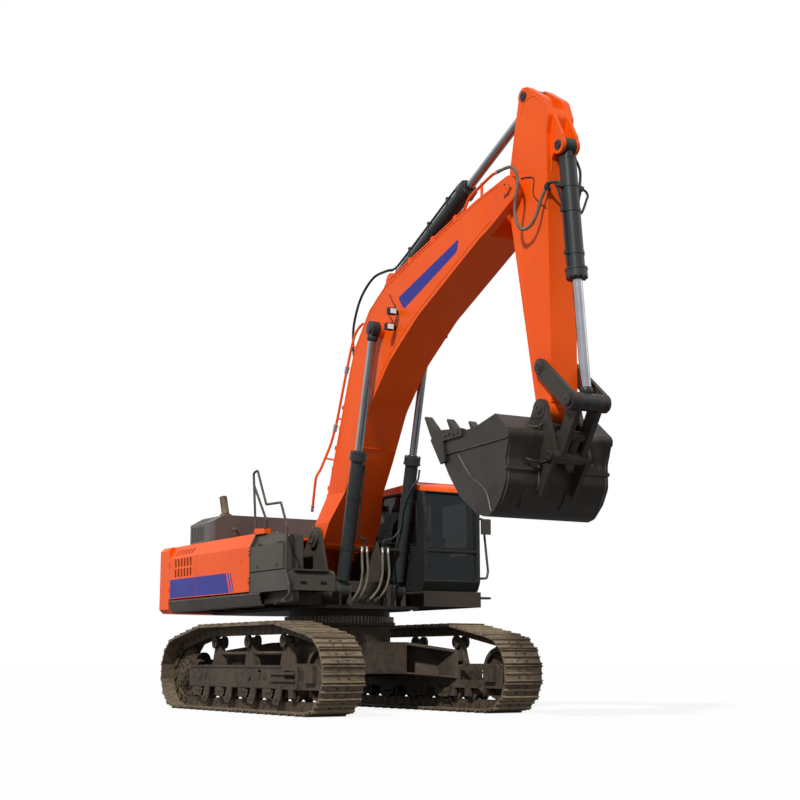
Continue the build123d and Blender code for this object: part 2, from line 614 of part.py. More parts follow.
LEFT_FRONT = -620.0
right_front_hinge = upright_hinge(DOOR_FRONT - PANEL_GAP / 2, -SIDE - HINGE_OUT, HINGE_LEVELS, (1, 1))
left_front_hinge = upright_hinge(LEFT_FRONT - PANEL_GAP / 2, SIDE + HINGE_OUT, HINGE_LEVELS, (1, -1))
save("right_rear_door", hung(side_door(WEIGHT_FRONT, DOOR_SPLIT, 2), right_rear_hinge))
save("right_front_door", hung(side_door(DOOR_SPLIT, DOOR_FRONT, 0), right_front_hinge))
save("left_rear_door", hung(mirror(side_door(WEIGHT_FRONT, DOOR_SPLIT, 2), Plane.XZ), left_rear_hinge))
save("left_front_door", hung(mirror(side_door(DOOR_SPLIT, LEFT_FRONT, 0), Plane.XZ), left_front_hinge))

cover_y = SIDE - LEAN - DOOR - 2 * PANEL_GAP
covers = block(WEIGHT_FRONT, COVER_FRONT, -cover_y, cover_y, HOUSE_TOP - 40, HOUSE_TOP - 4)
covers -= block(HOOD_REAR + 40, HOOD_FRONT - 40, -HOOD_HALF + 40, HOOD_HALF - 40, HOUSE_TOP - 50, HOUSE_TOP)
covers -= block(CAB_REAR - 10, 0, CAB_RIGHT - 10, 1500, HOUSE_TOP - 50, HOUSE_TOP)
covers -= block(-486, 0, -1196, -714, HOUSE_TOP - 50, HOUSE_TOP)
covers += block(-520, -490, -430, 430, 1900, HOUSE_TOP - 20)
PILLAR = 26.0
covers += block(COVER_FRONT - 1, DOOR_FRONT + PANEL_GAP / 2, -cover_y, -1198, HOUSE_TOP - 40, HOUSE_TOP - 4)
posts = [block(x, x + 40, y, y + 40, SILL_TOP, HOUSE_TOP - 40)
         for x, y in ((-2780, -1330), (-1760, -1330), (-60, -1330), (-2780, 1290), (-1760, 1290), (-700, 1290))]
for start, side, hinge in ((DOOR_FRONT, -1, right_front_hinge), (LEFT_FRONT, 1, left_front_hinge)):
    face = side_section(DOOR + 14)
    foot = outline((-SIDE + 5, SILL_TOP - 4), (-SIDE + 5, SILL_TOP + 25), (-SIDE + 90, SILL_TOP + 25), (-SIDE + 90, SILL_TOP - 4))
    pillar = section(face + foot, start + PANEL_GAP / 2, start + PANEL_GAP / 2 + PILLAR)
    if side > 0:
        pillar = mirror(pillar, Plane.XZ)
    for room in hinge[2]:
        pillar -= room
    for lug in hinge[0]:
        pillar += lug
    posts.append(pillar)
save("house_posts", Compound(children=posts))
HOOD_HINGE = (HOOD_REAR - 20, HOUSE_TOP + 10)
hood_fixed = outline((HOOD_HINGE[0] - 12, HOUSE_TOP - 10), (HOOD_HINGE[0] - 12, HOOD_HINGE[1]),
                     (HOOD_HINGE[0] + 12, HOOD_HINGE[1]), (HOOD_HINGE[0] + 12, HOUSE_TOP - 10))
hood_leaf = outline((HOOD_HINGE[0], HOOD_HINGE[1] - 4), (HOOD_HINGE[0], HOOD_HINGE[1] + 12),
                    (HOOD_REAR + 5, HOOD_HINGE[1] + 12), (HOOD_REAR + 5, HOOD_HINGE[1] - 4))
hood_knuckles = []
for y in (-700, 600):
    fixed, knuckle = level_hinge(plate, HOOD_HINGE, y, y + 100, 12, hood_fixed, hood_leaf)
    covers += fixed
    hood_knuckles.append(knuckle)
save("house_covers", covers)

HOOD_LOW = HOUSE_TOP - 4 + SEAT
hood_body = outline((-HOOD_HALF, HOOD_LOW), (-HOOD_HALF, HOOD_SIDE), (HOOD_LEAN - HOOD_HALF, HOOD_TOP),
                    (HOOD_HALF - HOOD_LEAN, HOOD_TOP), (HOOD_HALF, HOOD_SIDE), (HOOD_HALF, HOOD_LOW))
hood = section(hood_body, HOOD_REAR, HOOD_FRONT)
hood = fillet(hood.edges().filter_by(Axis.Z).group_by(Axis.X)[-1], 70)
hood -= section(offset(hood_body, -HOOD_SKIN), HOOD_REAR + HOOD_SKIN, HOOD_FRONT - HOOD_SKIN)
hood -= block(HOOD_REAR + HOOD_SKIN, HOOD_FRONT - HOOD_SKIN, -HOOD_HALF + HOOD_SKIN, HOOD_HALF - HOOD_SKIN,
              HOOD_LOW - 1, HOUSE_TOP + 60)
for slot in range(8):
    left = HOOD_REAR + 60 + slot * 62
    for side in (-1, 1):
        wall = sorted((side * (HOOD_HALF + 5), side * (HOOD_HALF - 60)))
        slope = sorted((side * (HOOD_HALF - 35), side * (HOOD_HALF - HOOD_LEAN + 30)))
        hood -= block(left, left + 34, *wall, HOUSE_TOP + 70, HOOD_SIDE - 50)
        hood -= block(left, left + 34, *slope, HOOD_SIDE - 50, HOOD_TOP + 5)
for knuckle in hood_knuckles:
    hood += knuckle
save("engine_hood", hood)

def leaning_pipe(start, radius, length, low):
    """Round bar that leans backwards from the stack's foot."""
    axis = Plane(origin=(*STACK, low), z_dir=(-0.36, 0, 0.93))
    return axis * Pos(0, 0, start) * Cylinder(radius, length, align=(Align.CENTER, Align.CENTER, Align.MIN))


stack = Pos(*STACK, HOOD_TOP + 0.3) * Cylinder(90, 30, align=(Align.CENTER, Align.CENTER, Align.MIN))
stack += leaning_pipe(0, 60, 300, HOOD_TOP + 24)
stack -= leaning_pipe(40, 52, 400, HOOD_TOP + 24)
save("exhaust_stack", stack)

engine = block(-2420, -1790, -640, 640, deck_top + 60, 2330)
for x in (-2300, -2000):
    for y in (-420, 300):
        engine += block(x, x + 100, y, y + 120, deck_top, deck_top + 60)
save("engine_block", engine)

# Skirts under both sides
skirt_face = outline((-SIDE + 100, SILL_TOP - 4), (-SIDE - 4, SILL_TOP - 4), (-SIDE - 26, 1600), (-SIDE + 20, 1450),
                     (-SIDE + 70, 1436), (-SIDE + 70, 1448), (-SIDE + 30, 1462), (-SIDE - 6, 1596),
                     (-SIDE + 10, SILL_TOP - 16), (-SIDE + 100, SILL_TOP - 16))
right_skirt = section(skirt_face, -2790, 480)
left_skirt = mirror(section(skirt_face, -2790, -420), Plane.XZ)
save("side_skirts", Compound(children=[right_skirt, left_skirt]))

# Right front corner: tank, storage box and the low step box
TANK_FRONT = 250.0
TANK_TOP = 2440.0
tank = block(-480, TANK_FRONT, -1190, -720, SILL_TOP, TANK_TOP)
tank -= block(-460, TANK_FRONT - 20, -1170, -740, SILL_TOP - 10, TANK_TOP - 25)
tank += Pos(-100, -960, TANK_TOP + 15) * Cylinder(75, 60)
save("fuel_tank", tank)

storage = section(outline((-1440, 1900), (-1440, 2250), (-1380, 2440), (-1205, 2440), (-1205, 1900)), 150, 1180)
storage -= section(outline((-1445, 1925), (-1445, 2235), (-1225, 2235), (-1225, 1925)), 175, 1155)
storage -= plate(outline((450, 2441), (1200, 2372), (1200, 2500), (450, 2500)), -1500, -1100)
STORAGE_HINGE = (-1487.0, 2276.0)
storage_door = section(outline((-1495, 1915), (-1495, 2262), (-1452, 2262), (-1452, 1915)), 158, 1172)
hinge_y, hinge_z = STORAGE_HINGE
lug_line = outline((hinge_y, hinge_z - 12), (hinge_y, hinge_z + 12), (-1428, hinge_z + 12), (-1432, hinge_z - 12))
leaf_line = outline((hinge_y - 8, hinge_z), (hinge_y - 8, hinge_z - 20), (hinge_y + 8, hinge_z - 20), (hinge_y + 8, hinge_z))
for x in (300, 950):
    fixed, knuckle = level_hinge(section, STORAGE_HINGE, x, x + 80, 12, lug_line, leaf_line)
    storage += fixed
    storage_door += knuckle
save("storage_box", storage)
save("storage_door", storage_door)

step_box = plate(rounded(outline((142, SILL_TOP), (1310, SILL_TOP), (1310, 1900), (142, 1900)),
                         (1310, 1900), 90), -1490, -775)
step_box -= plate(outline((162, SILL_TOP - 1), (1285, SILL_TOP - 1), (1285, 1870), (162, 1870)), -1470, -795)
step_box -= block(130, TANK_FRONT + 10, -1196, -700, SILL_TOP, 2000)
step_box += block(1200, 1345, -1400, -860, 1882, 1900)
save("step_box", step_box)

# Cab
cab_side = outline((CAB_REAR, CAB_FLOOR), (CAB_REAR, 2960), (CAB_REAR + 110, 3140), (CAB_FRONT - 330, CAB_ROOF),
                   (CAB_FRONT - 95, 3130), (CAB_FRONT, 2760), (CAB_FRONT, 1790), (CAB_FRONT - 70, CAB_FLOOR))
cab_side = rounded(cab_side, (CAB_REAR, 2960), 90)
cab_side = rounded(cab_side, (CAB_REAR + 110, 3140), 90)
cab_side = rounded(cab_side, (CAB_FRONT - 95, 3130), 120)
cab = plate(cab_side, CAB_RIGHT, CAB_LEFT - 8)
cab -= plate(offset(cab_side, -CAB_WALL), CAB_RIGHT + CAB_WALL, CAB_LEFT - 8 - CAB_WALL)
DOOR_REAR = 330.0
DOOR_NOSE = 1270.0
door_hole = outline((DOOR_REAR, CAB_FLOOR + 55), (DOOR_REAR, 3015), (DOOR_NOSE - 60, 3030), (DOOR_NOSE, 2760),
                    (DOOR_NOSE, CAB_FLOOR + 55))
cab -= plate(door_hole, CAB_LEFT - 100, CAB_LEFT + 10)
rear_window = outline((CAB_REAR + 110, 2330), (DOOR_REAR - 90, 2330), (DOOR_REAR - 90, 3010), (CAB_REAR + 150, 3010),
                      (CAB_REAR + 110, 2900))
cab -= plate(rear_window, CAB_LEFT - 100, CAB_LEFT + 10)
right_window = outline((CAB_REAR + 110, 2440), (CAB_FRONT - 200, 2300), (CAB_FRONT - 200, 2800),
                       (CAB_FRONT - 260, 3050), (CAB_REAR + 150, 3050), (CAB_REAR + 110, 2900))
cab -= plate(right_window, CAB_RIGHT - 10, CAB_RIGHT + 100)
FRONT_PANE = (CAB_RIGHT + 55, CAB_LEFT - 63)
REAR_PANE = (CAB_RIGHT + 110, CAB_LEFT - 118)
LOW_GLASS = (1800.0, 2205.0)
HIGH_GLASS = (2250.0, 3050.0)
REAR_GLASS = (2450.0, 2950.0)
cab -= block(CAB_FRONT - 250, CAB_FRONT + 50, *FRONT_PANE, *HIGH_GLASS)
cab -= block(CAB_FRONT - 70, CAB_FRONT + 50, *FRONT_PANE, *LOW_GLASS)
cab -= block(CAB_REAR - 10, CAB_REAR + 100, *REAR_PANE, *REAR_GLASS)
cab -= block(420, 1020, CAB_RIGHT + 190, CAB_LEFT - 200, 3100, 3300)
CAB_HINGE_X = DOOR_REAR + PANEL_GAP / 2
cab_hinge = upright_hinge(CAB_HINGE_X, CAB_LEFT + HINGE_OUT, (1900.0, 2800.0), (-1, -1))
for room in cab_hinge[2]:
    cab -= room
for lug in cab_hinge[0]:
    cab += lug

PANE = 8.0


def inset_pane(face, y_low):
    return plate(offset(face, -0.3), y_low, y_low + PANE)


panes = [inset_pane(rear_window, CAB_LEFT - 45), inset_pane(right_window, CAB_RIGHT + 25)]

def inset(span):
    """A span made smaller by the play at both ends."""
    return span[0] + SEAT, span[1] - SEAT


panes.append(block(CAB_REAR + 26, CAB_REAR + 26 + PANE, *inset(REAR_PANE), *inset(REAR_GLASS)))
glass_x = CAB_FRONT - 40
panes.append(block(glass_x, glass_x + PANE, *inset(FRONT_PANE), *inset(LOW_GLASS)))
low, high = inset(HIGH_GLASS)
panes.append(plate(outline((glass_x, low), (glass_x, 2750), (glass_x - 76, high), (glass_x - 76 - PANE, high),
                           (glass_x - PANE, 2750), (glass_x - PANE, low)), *inset(FRONT_PANE)))
save("cab_windows", Compound(children=panes))

HATCH_REAR = 380.0
HATCH_NOSE = 1060.0
roof_rise = (CAB_ROOF - 3140) / (CAB_FRONT - 330 - CAB_REAR - 110)


def roof_at(x):
    """Height of the cab roof, which slopes down to the rear."""
    return 3140 + (x - CAB_REAR - 110) * roof_rise


HATCH_HINGE = (HATCH_REAR - 14, roof_at(HATCH_REAR - 14) + 14)
hinge_x, hinge_z = HATCH_HINGE
lug_line = outline((hinge_x - 12, hinge_z - 30), (hinge_x - 12, hinge_z), (hinge_x + 12, hinge_z), (hinge_x + 12, hinge_z - 30))
leaf_line = outline((hinge_x, hinge_z - 6), (hinge_x, hinge_z + 6), (HATCH_REAR + 30, hinge_z + 6), (HATCH_REAR + 30, hinge_z - 6))
hatch_face = outline((HATCH_REAR, roof_at(HATCH_REAR) + SEAT), (HATCH_NOSE, roof_at(HATCH_NOSE) + SEAT),
                     (HATCH_NOSE - 15, roof_at(HATCH_NOSE) + 30), (HATCH_REAR + 15, roof_at(HATCH_REAR) + 30))
hatch = plate(hatch_face, CAB_RIGHT + 150, CAB_LEFT - 160)
for y in (CAB_RIGHT + 220, CAB_LEFT - 310):
    fixed, knuckle = level_hinge(plate, HATCH_HINGE, y, y + 70, 12, lug_line, leaf_line)
    cab += fixed
    hatch += knuckle
save("roof_hatch", hatch)

FLOOR_TOP = CAB_FLOOR + CAB_WALL
ROOF_SPLIT = 3062.0
FRONT_SPLIT = DOOR_NOSE
SIDE_SPLIT = CAB_LEFT - 8 - CAB_WALL
FAR = 2000.0
save("cab_floor", cab & block(-FAR, FAR, 0, FAR, 0, FLOOR_TOP))
save("cab_roof", cab & block(-FAR, FAR, 0, FAR, ROOF_SPLIT, 2 * FAR))
save("cab_front_frame", cab & block(FRONT_SPLIT, FAR, 0, FAR, FLOOR_TOP, ROOF_SPLIT))
save("cab_right_side", cab & block(-FAR, FRONT_SPLIT, 0, CAB_RIGHT + CAB_WALL, FLOOR_TOP, ROOF_SPLIT))
save("cab_left_side", cab & block(-FAR, FRONT_SPLIT, SIDE_SPLIT, FAR, FLOOR_TOP, ROOF_SPLIT))
save("cab_rear_wall", cab & block(-FAR, 0, CAB_RIGHT + CAB_WALL, SIDE_SPLIT, FLOOR_TOP, ROOF_SPLIT))

door_skin = offset(door_hole, -PANEL_GAP / 2)
door_window = outline((DOOR_REAR + 90, 2180), (DOOR_REAR + 90, 2960), (DOOR_NOSE - 140, 2980),
                      (DOOR_NOSE - 90, 2740), (DOOR_NOSE - 90, 2180))
cab_door = plate(door_skin, CAB_LEFT - 55, CAB_LEFT) - plate(door_window, CAB_LEFT - 60, CAB_LEFT + 10)
save("cab_door", hung(cab_door, cab_hinge))
save("cab_door_glass", inset_pane(door_window, CAB_LEFT - 30))

seat = block(180, 680, 770, 1240, 2130, 2240) + block(110, 220, 770, 1240, 2180, 2760)
seat += block(250, 600, 850, 1160, CAB_FLOOR + CAB_WALL + 0.3, 2130)
seat = fillet(seat.edges().filter_by(Axis.Y).sort_by(Axis.Z)[-2:], 40)
save("operator_seat", seat)
consoles = Compound(children=[
    block(180, 800, low, low + 130, CAB_FLOOR + CAB_WALL + 0.3, 2260) +
    Pos(720, low + 65, 2330) * Cylinder(22, 140.1) for low in (620, 1260)])
save("control_consoles", consoles)

# Handrails at the right front corner
def rail(points, bend):
    return sweep(Plane(origin=points[0], z_dir=Vector(*points[1]) - Vector(*points[0])) * Circle(RAIL),
                 FilletPolyline(*points, radius=bend))


rail_y = -1400.0
hoop = rail([(1300, -1523, 1494), (1430, -1523, 1560), (1412, -1523, 1690), (1310, -1520, 1870), (1290, -1500, 2470),
             (890, rail_y, 2827), (430, rail_y, 2841), (130, rail_y, 3350), (0, rail_y, 3330), (103, rail_y, 2462)], 38)
brace = rail([(23, rail_y, 3150), (439, rail_y, 2624), (430, rail_y, 2503), (160, rail_y, 2480)], 30)
bracket = outline((90, 2460.3), (145, 2460.3), (145, TANK_TOP + SEAT), (430, TANK_TOP + SEAT), (400, 2500), (110, 2520))
hoop += brace + plate(bracket, rail_y - 18, rail_y + 70)
hoop += block(1230, 1330, -1535, -1395, 1478, 1512) + block(1270, 1375, -1530, -1490, 1765, 1800)
grab = rail([(1360, 1480, 2700), (1360, 1600, 2710), (1350, 1690, 1960), (1360, 1660, 1860), (1360, 1480, 1850)], 40)
grab -= block(0, FAR, 0, CAB_LEFT - 8, 0, 2 * FAR)
grab += Pos(1380, 1600, 2620) * Rot(0, 90, 0) * Cylinder(12, 70) + block(1410, 1450, 1530, 1680, 2480, 2700)
save("handrails", Compound(children=[hoop, grab]))

# Boom: a box of plates with a wide foot, a forked tip and ears on its back for the arm cylinder
boom_line = outline((4745, 6524), (4100, 6410), (1950, 5855), (1350, 5500), (960, 5040), (850, 4800),
                    (-40, 2460), (120, 2262), (265, 2345), (1000, 3480), (1380, 4140), (1950, 4715),
                    (2700, 5205), (4180, 5895), (4430, 5985), (4905, 6212))
for corner, radius in (((1950, 5855), 500), ((1350, 5500), 500), ((960, 5040), 400), ((1000, 3480), 700),
                       ((1380, 4140), 700), ((1950, 4715), 900), ((2700, 5205), 900)):
    boom_line = rounded(boom_line, corner, radius)
boom_line += disc(BOOM_FOOT, FOOT_RADIUS)
boom_line += disc(BOOM_TIP, TIP_RADIUS)
FLARE_TOP = 3050.0
FLARE_LOW = 2640.0


def boom_width(inset):
    """Front view of the boom: straight sides that flare out to the foot."""
    body = BOOM_HALF - inset
    foot = FOOT_HALF - inset
    return outline((-body, 7000), (-body, FLARE_TOP), (-foot, FLARE_LOW), (-foot, 2000), (foot, 2000),
                   (foot, FLARE_LOW), (body, FLARE_TOP), (body, 7000))


SLOT_BACK = BOOM_TIP[0] - 540
SLOT_HALF = ARM_HALF + SIDE_GAP
boom = plate(boom_line, -FOOT_HALF, FOOT_HALF) & section(boom_width(0), -500, 5500)
hollow = plate(offset(boom_line, -BOOM_SKIN), -FOOT_HALF, FOOT_HALF) & section(boom_width(BOOM_SKIN), 230, SLOT_BACK - 25)
hollow -= block(0, 500, -600, 600, 2000, 2640)
boom -= hollow
boom -= block(SLOT_BACK, 5200, -SLOT_HALF, SLOT_HALF, 5600, 6800)
boom -= bar_y(BOOM_FOOT, PIN + PIN_FIT, -600, 600)
boom -= bar_y(BOOM_TIP, PIN + PIN_FIT, -600, 600)
for side in (-1, 1):
    boss = sorted((side * (BOOM_HALF - BOOM_SKIN), side * (CYL_Y - CYL_EYE_WIDTH - SIDE_GAP)))
    boom += bar_y(BOOM_ROD_PIN, 112, *boss)
    x, z = ARM_CYL_PIN
    ear = outline((1370, 5490), (x - 105, z), (x + 100, z - 25), (2120, 5860), (1700, 5680)) + disc(ARM_CYL_PIN, 112)
    low = min(side * (CYL_EYE_HALF + SIDE_GAP), side * (CYL_EYE_HALF + SIDE_GAP + 38))
    boom += plate(ear, low, low + 38) - bar_y(ARM_CYL_PIN, PIN + PIN_FIT, low - 1, low + 39)
save("boom", boom)

PIPE = 19.0
PIPE_RISE = 62.0
BACK = ((-40.0, 2460.0), (850.0, 4800.0), (960.0, 5040.0), (1350.0, 5500.0), (1950.0, 5855.0), (4100.0, 6410.0))


def off_back(start, end, distance, rise):
    """A point above the boom's back, on the line from start to end."""
    length = math.dist(start, end)
    ahead = ((end[0] - start[0]) / length, (end[1] - start[1]) / length)
    return (start[0] + ahead[0] * distance - ahead[1] * rise, start[1] + ahead[1] * distance + ahead[0] * rise)


pipe_line = [off_back(BACK[0], BACK[1], 560, PIPE_RISE), off_back(BACK[0], BACK[1], 2440, PIPE_RISE),
             off_back(BACK[2], BACK[3], 0, PIPE_RISE), off_back(BACK[3], BACK[4], 0, PIPE_RISE),
             off_back(BACK[4], BACK[5], 0, PIPE_RISE), off_back(BACK[4], BACK[5], 1780, PIPE_RISE)]
boom_pipes = []
for side in (-1, 1):
    pair = Part()
    for y in (side * 195, side * 255):
        points = [(x, y, z) for x, z in pipe_line]
        line = FilletPolyline(*points, radius=110)
        pair += sweep(Plane(origin=points[0], z_dir=Vector(*points[1]) - Vector(*points[0])) * Circle(PIPE), line)
    for start, end, places in ((BACK[0], BACK[1], (700, 1300, 1900)), (BACK[4], BACK[5], (480, 1080, 1650))):
        for place in places:
            clamp = outline(off_back(start, end, place, 0.2), off_back(start, end, place + 55, 0.2),
                            off_back(start, end, place + 55, PIPE_RISE + 26), off_back(start, end, place, PIPE_RISE + 26))
            pair += plate(clamp, side * 225 - 58, side * 225 + 58)
    boom_pipes.append(pair)
save("boom_pipes", Compound(children=boom_pipes))

lamps = []
for x, z, side in ((2230, 5350, -1), (2160, 5150, -1), (2150, 5140, 1)):
    bracket = sorted((side * (BOOM_HALF + 0.2), side * 385))
    shade = sorted((side * 375, side * 490))
    lamps.append(block(x - 45, x - 37, *bracket, z - 30, z + 30) + block(x - 40, x + 30, *shade, z - 45, z + 45))
save("work_lamps", Compound(children=lamps))

ear_reach = CYL_EYE_HALF + SIDE_GAP + 38
save("boom_pins", Compound(children=[
    pin_y(BOOM_TIP, PIN, -BOOM_HALF, BOOM_HALF, 14),
    pin_y(ARM_CYL_PIN, PIN, -ear_reach, ear_reach, 10)]))


# Hydraulic cylinders
def barrel(foot, head, radius, rod_radius, length, y, eye_half):
    """Tube with an eye at its foot and a bolted gland at its mouth."""
    mouth = along(foot, head, length)
    tube = cylinder_between(along(foot, head, 150), mouth, radius, y)
    tube += cylinder_between(along(foot, head, 50), along(foot, head, 151), eye_half - 5, y)
    tube += cylinder_between(along(foot, head, length - 120), mouth, radius + 24, y)
    tube += bar_y(foot, CYL_EYE, y - eye_half, y + eye_half)
    tube -= cylinder_between(along(foot, head, 165), along(foot, head, length - 100), radius - 15, y)
    tube -= cylinder_between(along(foot, head, length - 110), along(foot, head, length + 10), rod_radius + PIN_FIT, y)
    return tube - bar_y(foot, PIN + PIN_FIT, y - 200, y + 200)


def rod(foot, head, radius, length, y, eye_half):
    """Chromed rod with its eye at the head."""
    bar = cylinder_between(along(head, foot, 40), along(head, foot, length), radius, y)
    return bar + bar_y(head, CYL_EYE, y - eye_half, y + eye_half)


save("boom_cylinder_barrels", Compound(children=[
    barrel(CYL_FOOT, BOOM_ROD_PIN, CYL_RADIUS, CYL_ROD, CYL_BARREL, y, CYL_EYE_WIDTH) for y in (-CYL_Y, CYL_Y)]))
boom_rods = []
for side in (-1, 1):
    piece = rod(CYL_FOOT, BOOM_ROD_PIN, CYL_ROD, 1990, side * CYL_Y, CYL_EYE_WIDTH)
    low = min(side * (CYL_Y + CYL_EYE_WIDTH), side * (CYL_Y + CYL_EYE_WIDTH + 16))
    boom_rods.append(piece + bar_y(BOOM_ROD_PIN, PIN + 16, low, low + 16))
save("boom_cylinder_rods", Compound(children=boom_rods))
save("arm_cylinder_barrel", barrel(ARM_CYL_PIN, ARM_TOP_PIN, ARM_CYL_RADIUS, ARM_ROD, ARM_BARREL, 0, CYL_EYE_HALF))
save("arm_cylinder_rod", rod(ARM_CYL_PIN, ARM_TOP_PIN, ARM_ROD, 2270, 0, CYL_EYE_HALF))
save("bucket_cylinder_barrel", barrel(BUCKET_CYL_PIN, LINK_PIN, BUCKET_CYL_RADIUS, BUCKET_ROD, BUCKET_BARREL, 0,
                                       CYL_EYE_HALF))
save("bucket_cylinder_rod", rod(BUCKET_CYL_PIN, LINK_PIN, BUCKET_ROD, 1780, 0, CYL_EYE_HALF))

# Arm: a box of plates, forked at its top for the cylinder's rod
arm_line = outline((4885, 7480), (4790, 7100), (4685, 6650), (4655, 6250), (4700, 5950), (5158, 3600),
                   (5445, 3640), (5455, 4400), (5440, 6900), (5490, 7120), (5400, 7370), (5060, 7612))
arm_line = rounded(arm_line, (4655, 6250), 400)
arm_line = rounded(arm_line, (5490, 7120), 120)
arm_line = rounded(arm_line, (5400, 7370), 160)
arm_line += disc(ARM_TOP_PIN, 112) + disc(ARM_TIP, 145)
arm = plate(arm_line, -ARM_HALF, ARM_HALF)
hollow = plate(offset(arm_line, -ARM_SKIN), ARM_SKIN - ARM_HALF, ARM_HALF - ARM_SKIN)
hollow &= block(4000, 6000, -ARM_HALF, ARM_HALF, 3760, 7215)
arm -= hollow
fork_half = CYL_EYE_HALF + SIDE_GAP
arm -= block(4600, 5700, -fork_half, fork_half, 7240, 7800)
arm += bar_y(ARM_TIP, 145, -EAR_INNER + SIDE_GAP, EAR_INNER - SIDE_GAP)
arm += bar_y(ROCKER_PIN, 92, -EAR_INNER + SIDE_GAP, EAR_INNER - SIDE_GAP)
arm -= bar_y(ARM_TIP, PIN + PIN_FIT, -300, 300)
arm -= bar_y(ROCKER_PIN, PIN + PIN_FIT, -300, 300)
arm -= bar_y(ARM_TOP_PIN, PIN + PIN_FIT, -300, 300)
pivot_tube = plate(disc(BOOM_TIP, 150), -ARM_HALF, ARM_HALF)
arm += pivot_tube
arm -= bar_y(BOOM_TIP, PIN + PIN_FIT, -300, 300)
x, z = BUCKET_CYL_PIN
ear = outline((5425, 7200), (5500, 7130), (5660, 6830), (x + 90, z - 60), (x - 80, z - 75), (5425, 6560))
ear += disc(BUCKET_CYL_PIN, 108)
save("arm", arm)
ear -= arm_line
bracket = []
for side in (-1, 1):
    low = min(side * fork_half, side * (fork_half + 42))
    bracket.append(plate(ear, low, low + 42) - bar_y(BUCKET_CYL_PIN, PIN + PIN_FIT, low - 1, low + 43))
save("bucket_cylinder_ears", Compound(children=bracket))

arm_pins = [pin_y(ROCKER_PIN, PIN, -EAR_INNER - EAR_PLATE, EAR_INNER + EAR_PLATE, 12),
            pin_y(BUCKET_CYL_PIN, PIN, -fork_half - 42, fork_half + 42, 10),
            pin_y(ARM_TOP_PIN, PIN, fork_half, ARM_HALF, 12, 1),
            pin_y(ARM_TOP_PIN, PIN, -ARM_HALF, -fork_half, 12, -1)]
save("arm_pins", Compound(children=arm_pins))

# Bucket linkage
rockers = []
for side in (-1, 1):
    low = min(side * EAR_INNER, side * (EAR_INNER + EAR_PLATE))
    bored = strap(ROCKER_PIN, 96, LINK_PIN, 108) - disc(ROCKER_PIN, PIN + PIN_FIT)
    lever = plate(bored, low, low + EAR_PLATE)
    reach = (fork_half + 1, EAR_INNER + 1) if side > 0 else (-EAR_INNER - 1, -fork_half - 1)
    lever += bar_y(LINK_PIN, PIN, *reach)
    cap = (EAR_INNER + EAR_PLATE, EAR_INNER + EAR_PLATE + 30)
    lever += bar_y(LINK_PIN, 66, min(side * cap[0], side * cap[1]), max(side * cap[0], side * cap[1]))
    rockers.append(lever)
save("rocker_levers", Compound(children=rockers))

link = bar_y(BUCKET_LINK_PIN, 88, -EAR_INNER + SIDE_GAP, EAR_INNER - SIDE_GAP)
for side in (-1, 1):
    boss = sorted((side * fork_half, side * (EAR_INNER - SIDE_GAP)))
    web = sorted((side * (fork_half + 30), side * (EAR_INNER - 30)))
    link += plate(disc(LINK_PIN, 102), *boss)
    link += plate(strap(LINK_PIN, 96, BUCKET_LINK_PIN, 84), *web)
    link -= bar_y(LINK_PIN, PIN + PIN_FIT, boss[0] - 1, boss[1] + 1)
cross_from = between(LINK_PIN, BUCKET_LINK_PIN, 0.62)
link += cylinder_between(cross_from, BUCKET_LINK_PIN, 70, 0)
link += bar_y(cross_from, 60, -fork_half - 60, fork_half + 60)
save("bucket_link", link)

# Bucket, fully curled
bucket_back = ((5120, 3500), (5395, 3275), (5290, 2970), (5290, 2700), (5185, 2515), (5020, 2360), (4880, 2328),
               (4700, 2375), (4335, 2620), (4110, 2890), (4003, 3050), (3720, 3430))
bucket_face = outline(*bucket_back, (3928, 3465), (4443, 3416), (4471, 3387), (4702, 3401))
for corner, radius in (((5395, 3275), 90), ((5290, 2970), 150), ((5290, 2700), 180), ((5185, 2515), 180),
                       ((5020, 2360), 150), ((4880, 2328), 150), ((4700, 2375), 250), ((4335, 2620), 300),
                       ((4110, 2890), 200)):
    bucket_face = rounded(bucket_face, corner, radius)
shell_band = bucket_face - offset(bucket_face, -BUCKET_SKIN)
open_mouth = outline((3752, 3424), (3925, 3445), (4443, 3396), (4471, 3366), (4702, 3380), (5112, 3478),
                     (5140, 3530), (4700, 3500), (3700, 3560))
shell_band -= open_mouth
CHEEK = 30.0
bucket = plate(shell_band, CHEEK - BUCKET_HALF, BUCKET_HALF - CHEEK)
lip = bucket_face & outline((3600, 3060), (4020, 3145), (5370, 3195), (5600, 3900), (3600, 3900))
cheeks = []
for side in (-1, 1):
    cheek = plate(bucket_face, *sorted((side * (BUCKET_HALF - CHEEK), side * BUCKET_HALF)))
    cheeks.append(cheek + plate(lip, *sorted((side * (BUCKET_HALF - 1), side * (BUCKET_HALF + 14)))))
ear_line = outline((ARM_TIP[0] - 115, ARM_TIP[1] + 40), (ARM_TIP[0] + 118, ARM_TIP[1] + 40),
                   (BUCKET_LINK_PIN[0] + 95, BUCKET_LINK_PIN[1]), (BUCKET_LINK_PIN[0] + 60, BUCKET_LINK_PIN[1] - 75),
                   (5285, 2535), (5262, 2680), (5262, 2975), (5362, 3262), (5115, 3470))
ear_line += disc(ARM_TIP, 122) + disc(BUCKET_LINK_PIN, 98)
ear_line -= offset(bucket_face, -BUCKET_SKIN / 2)
for side in (-1, 1):
    low = min(side * EAR_INNER, side * (EAR_INNER + EAR_PLATE))
    bucket += plate(ear_line - disc(ARM_TIP, PIN + PIN_FIT), low, low + EAR_PLATE)
    cap = sorted((side * (EAR_INNER + EAR_PLATE), side * (EAR_INNER + EAR_PLATE + 26)))
    bucket += bar_y(BUCKET_LINK_PIN, 66, *cap)
tooth_root = (3770, 3360)
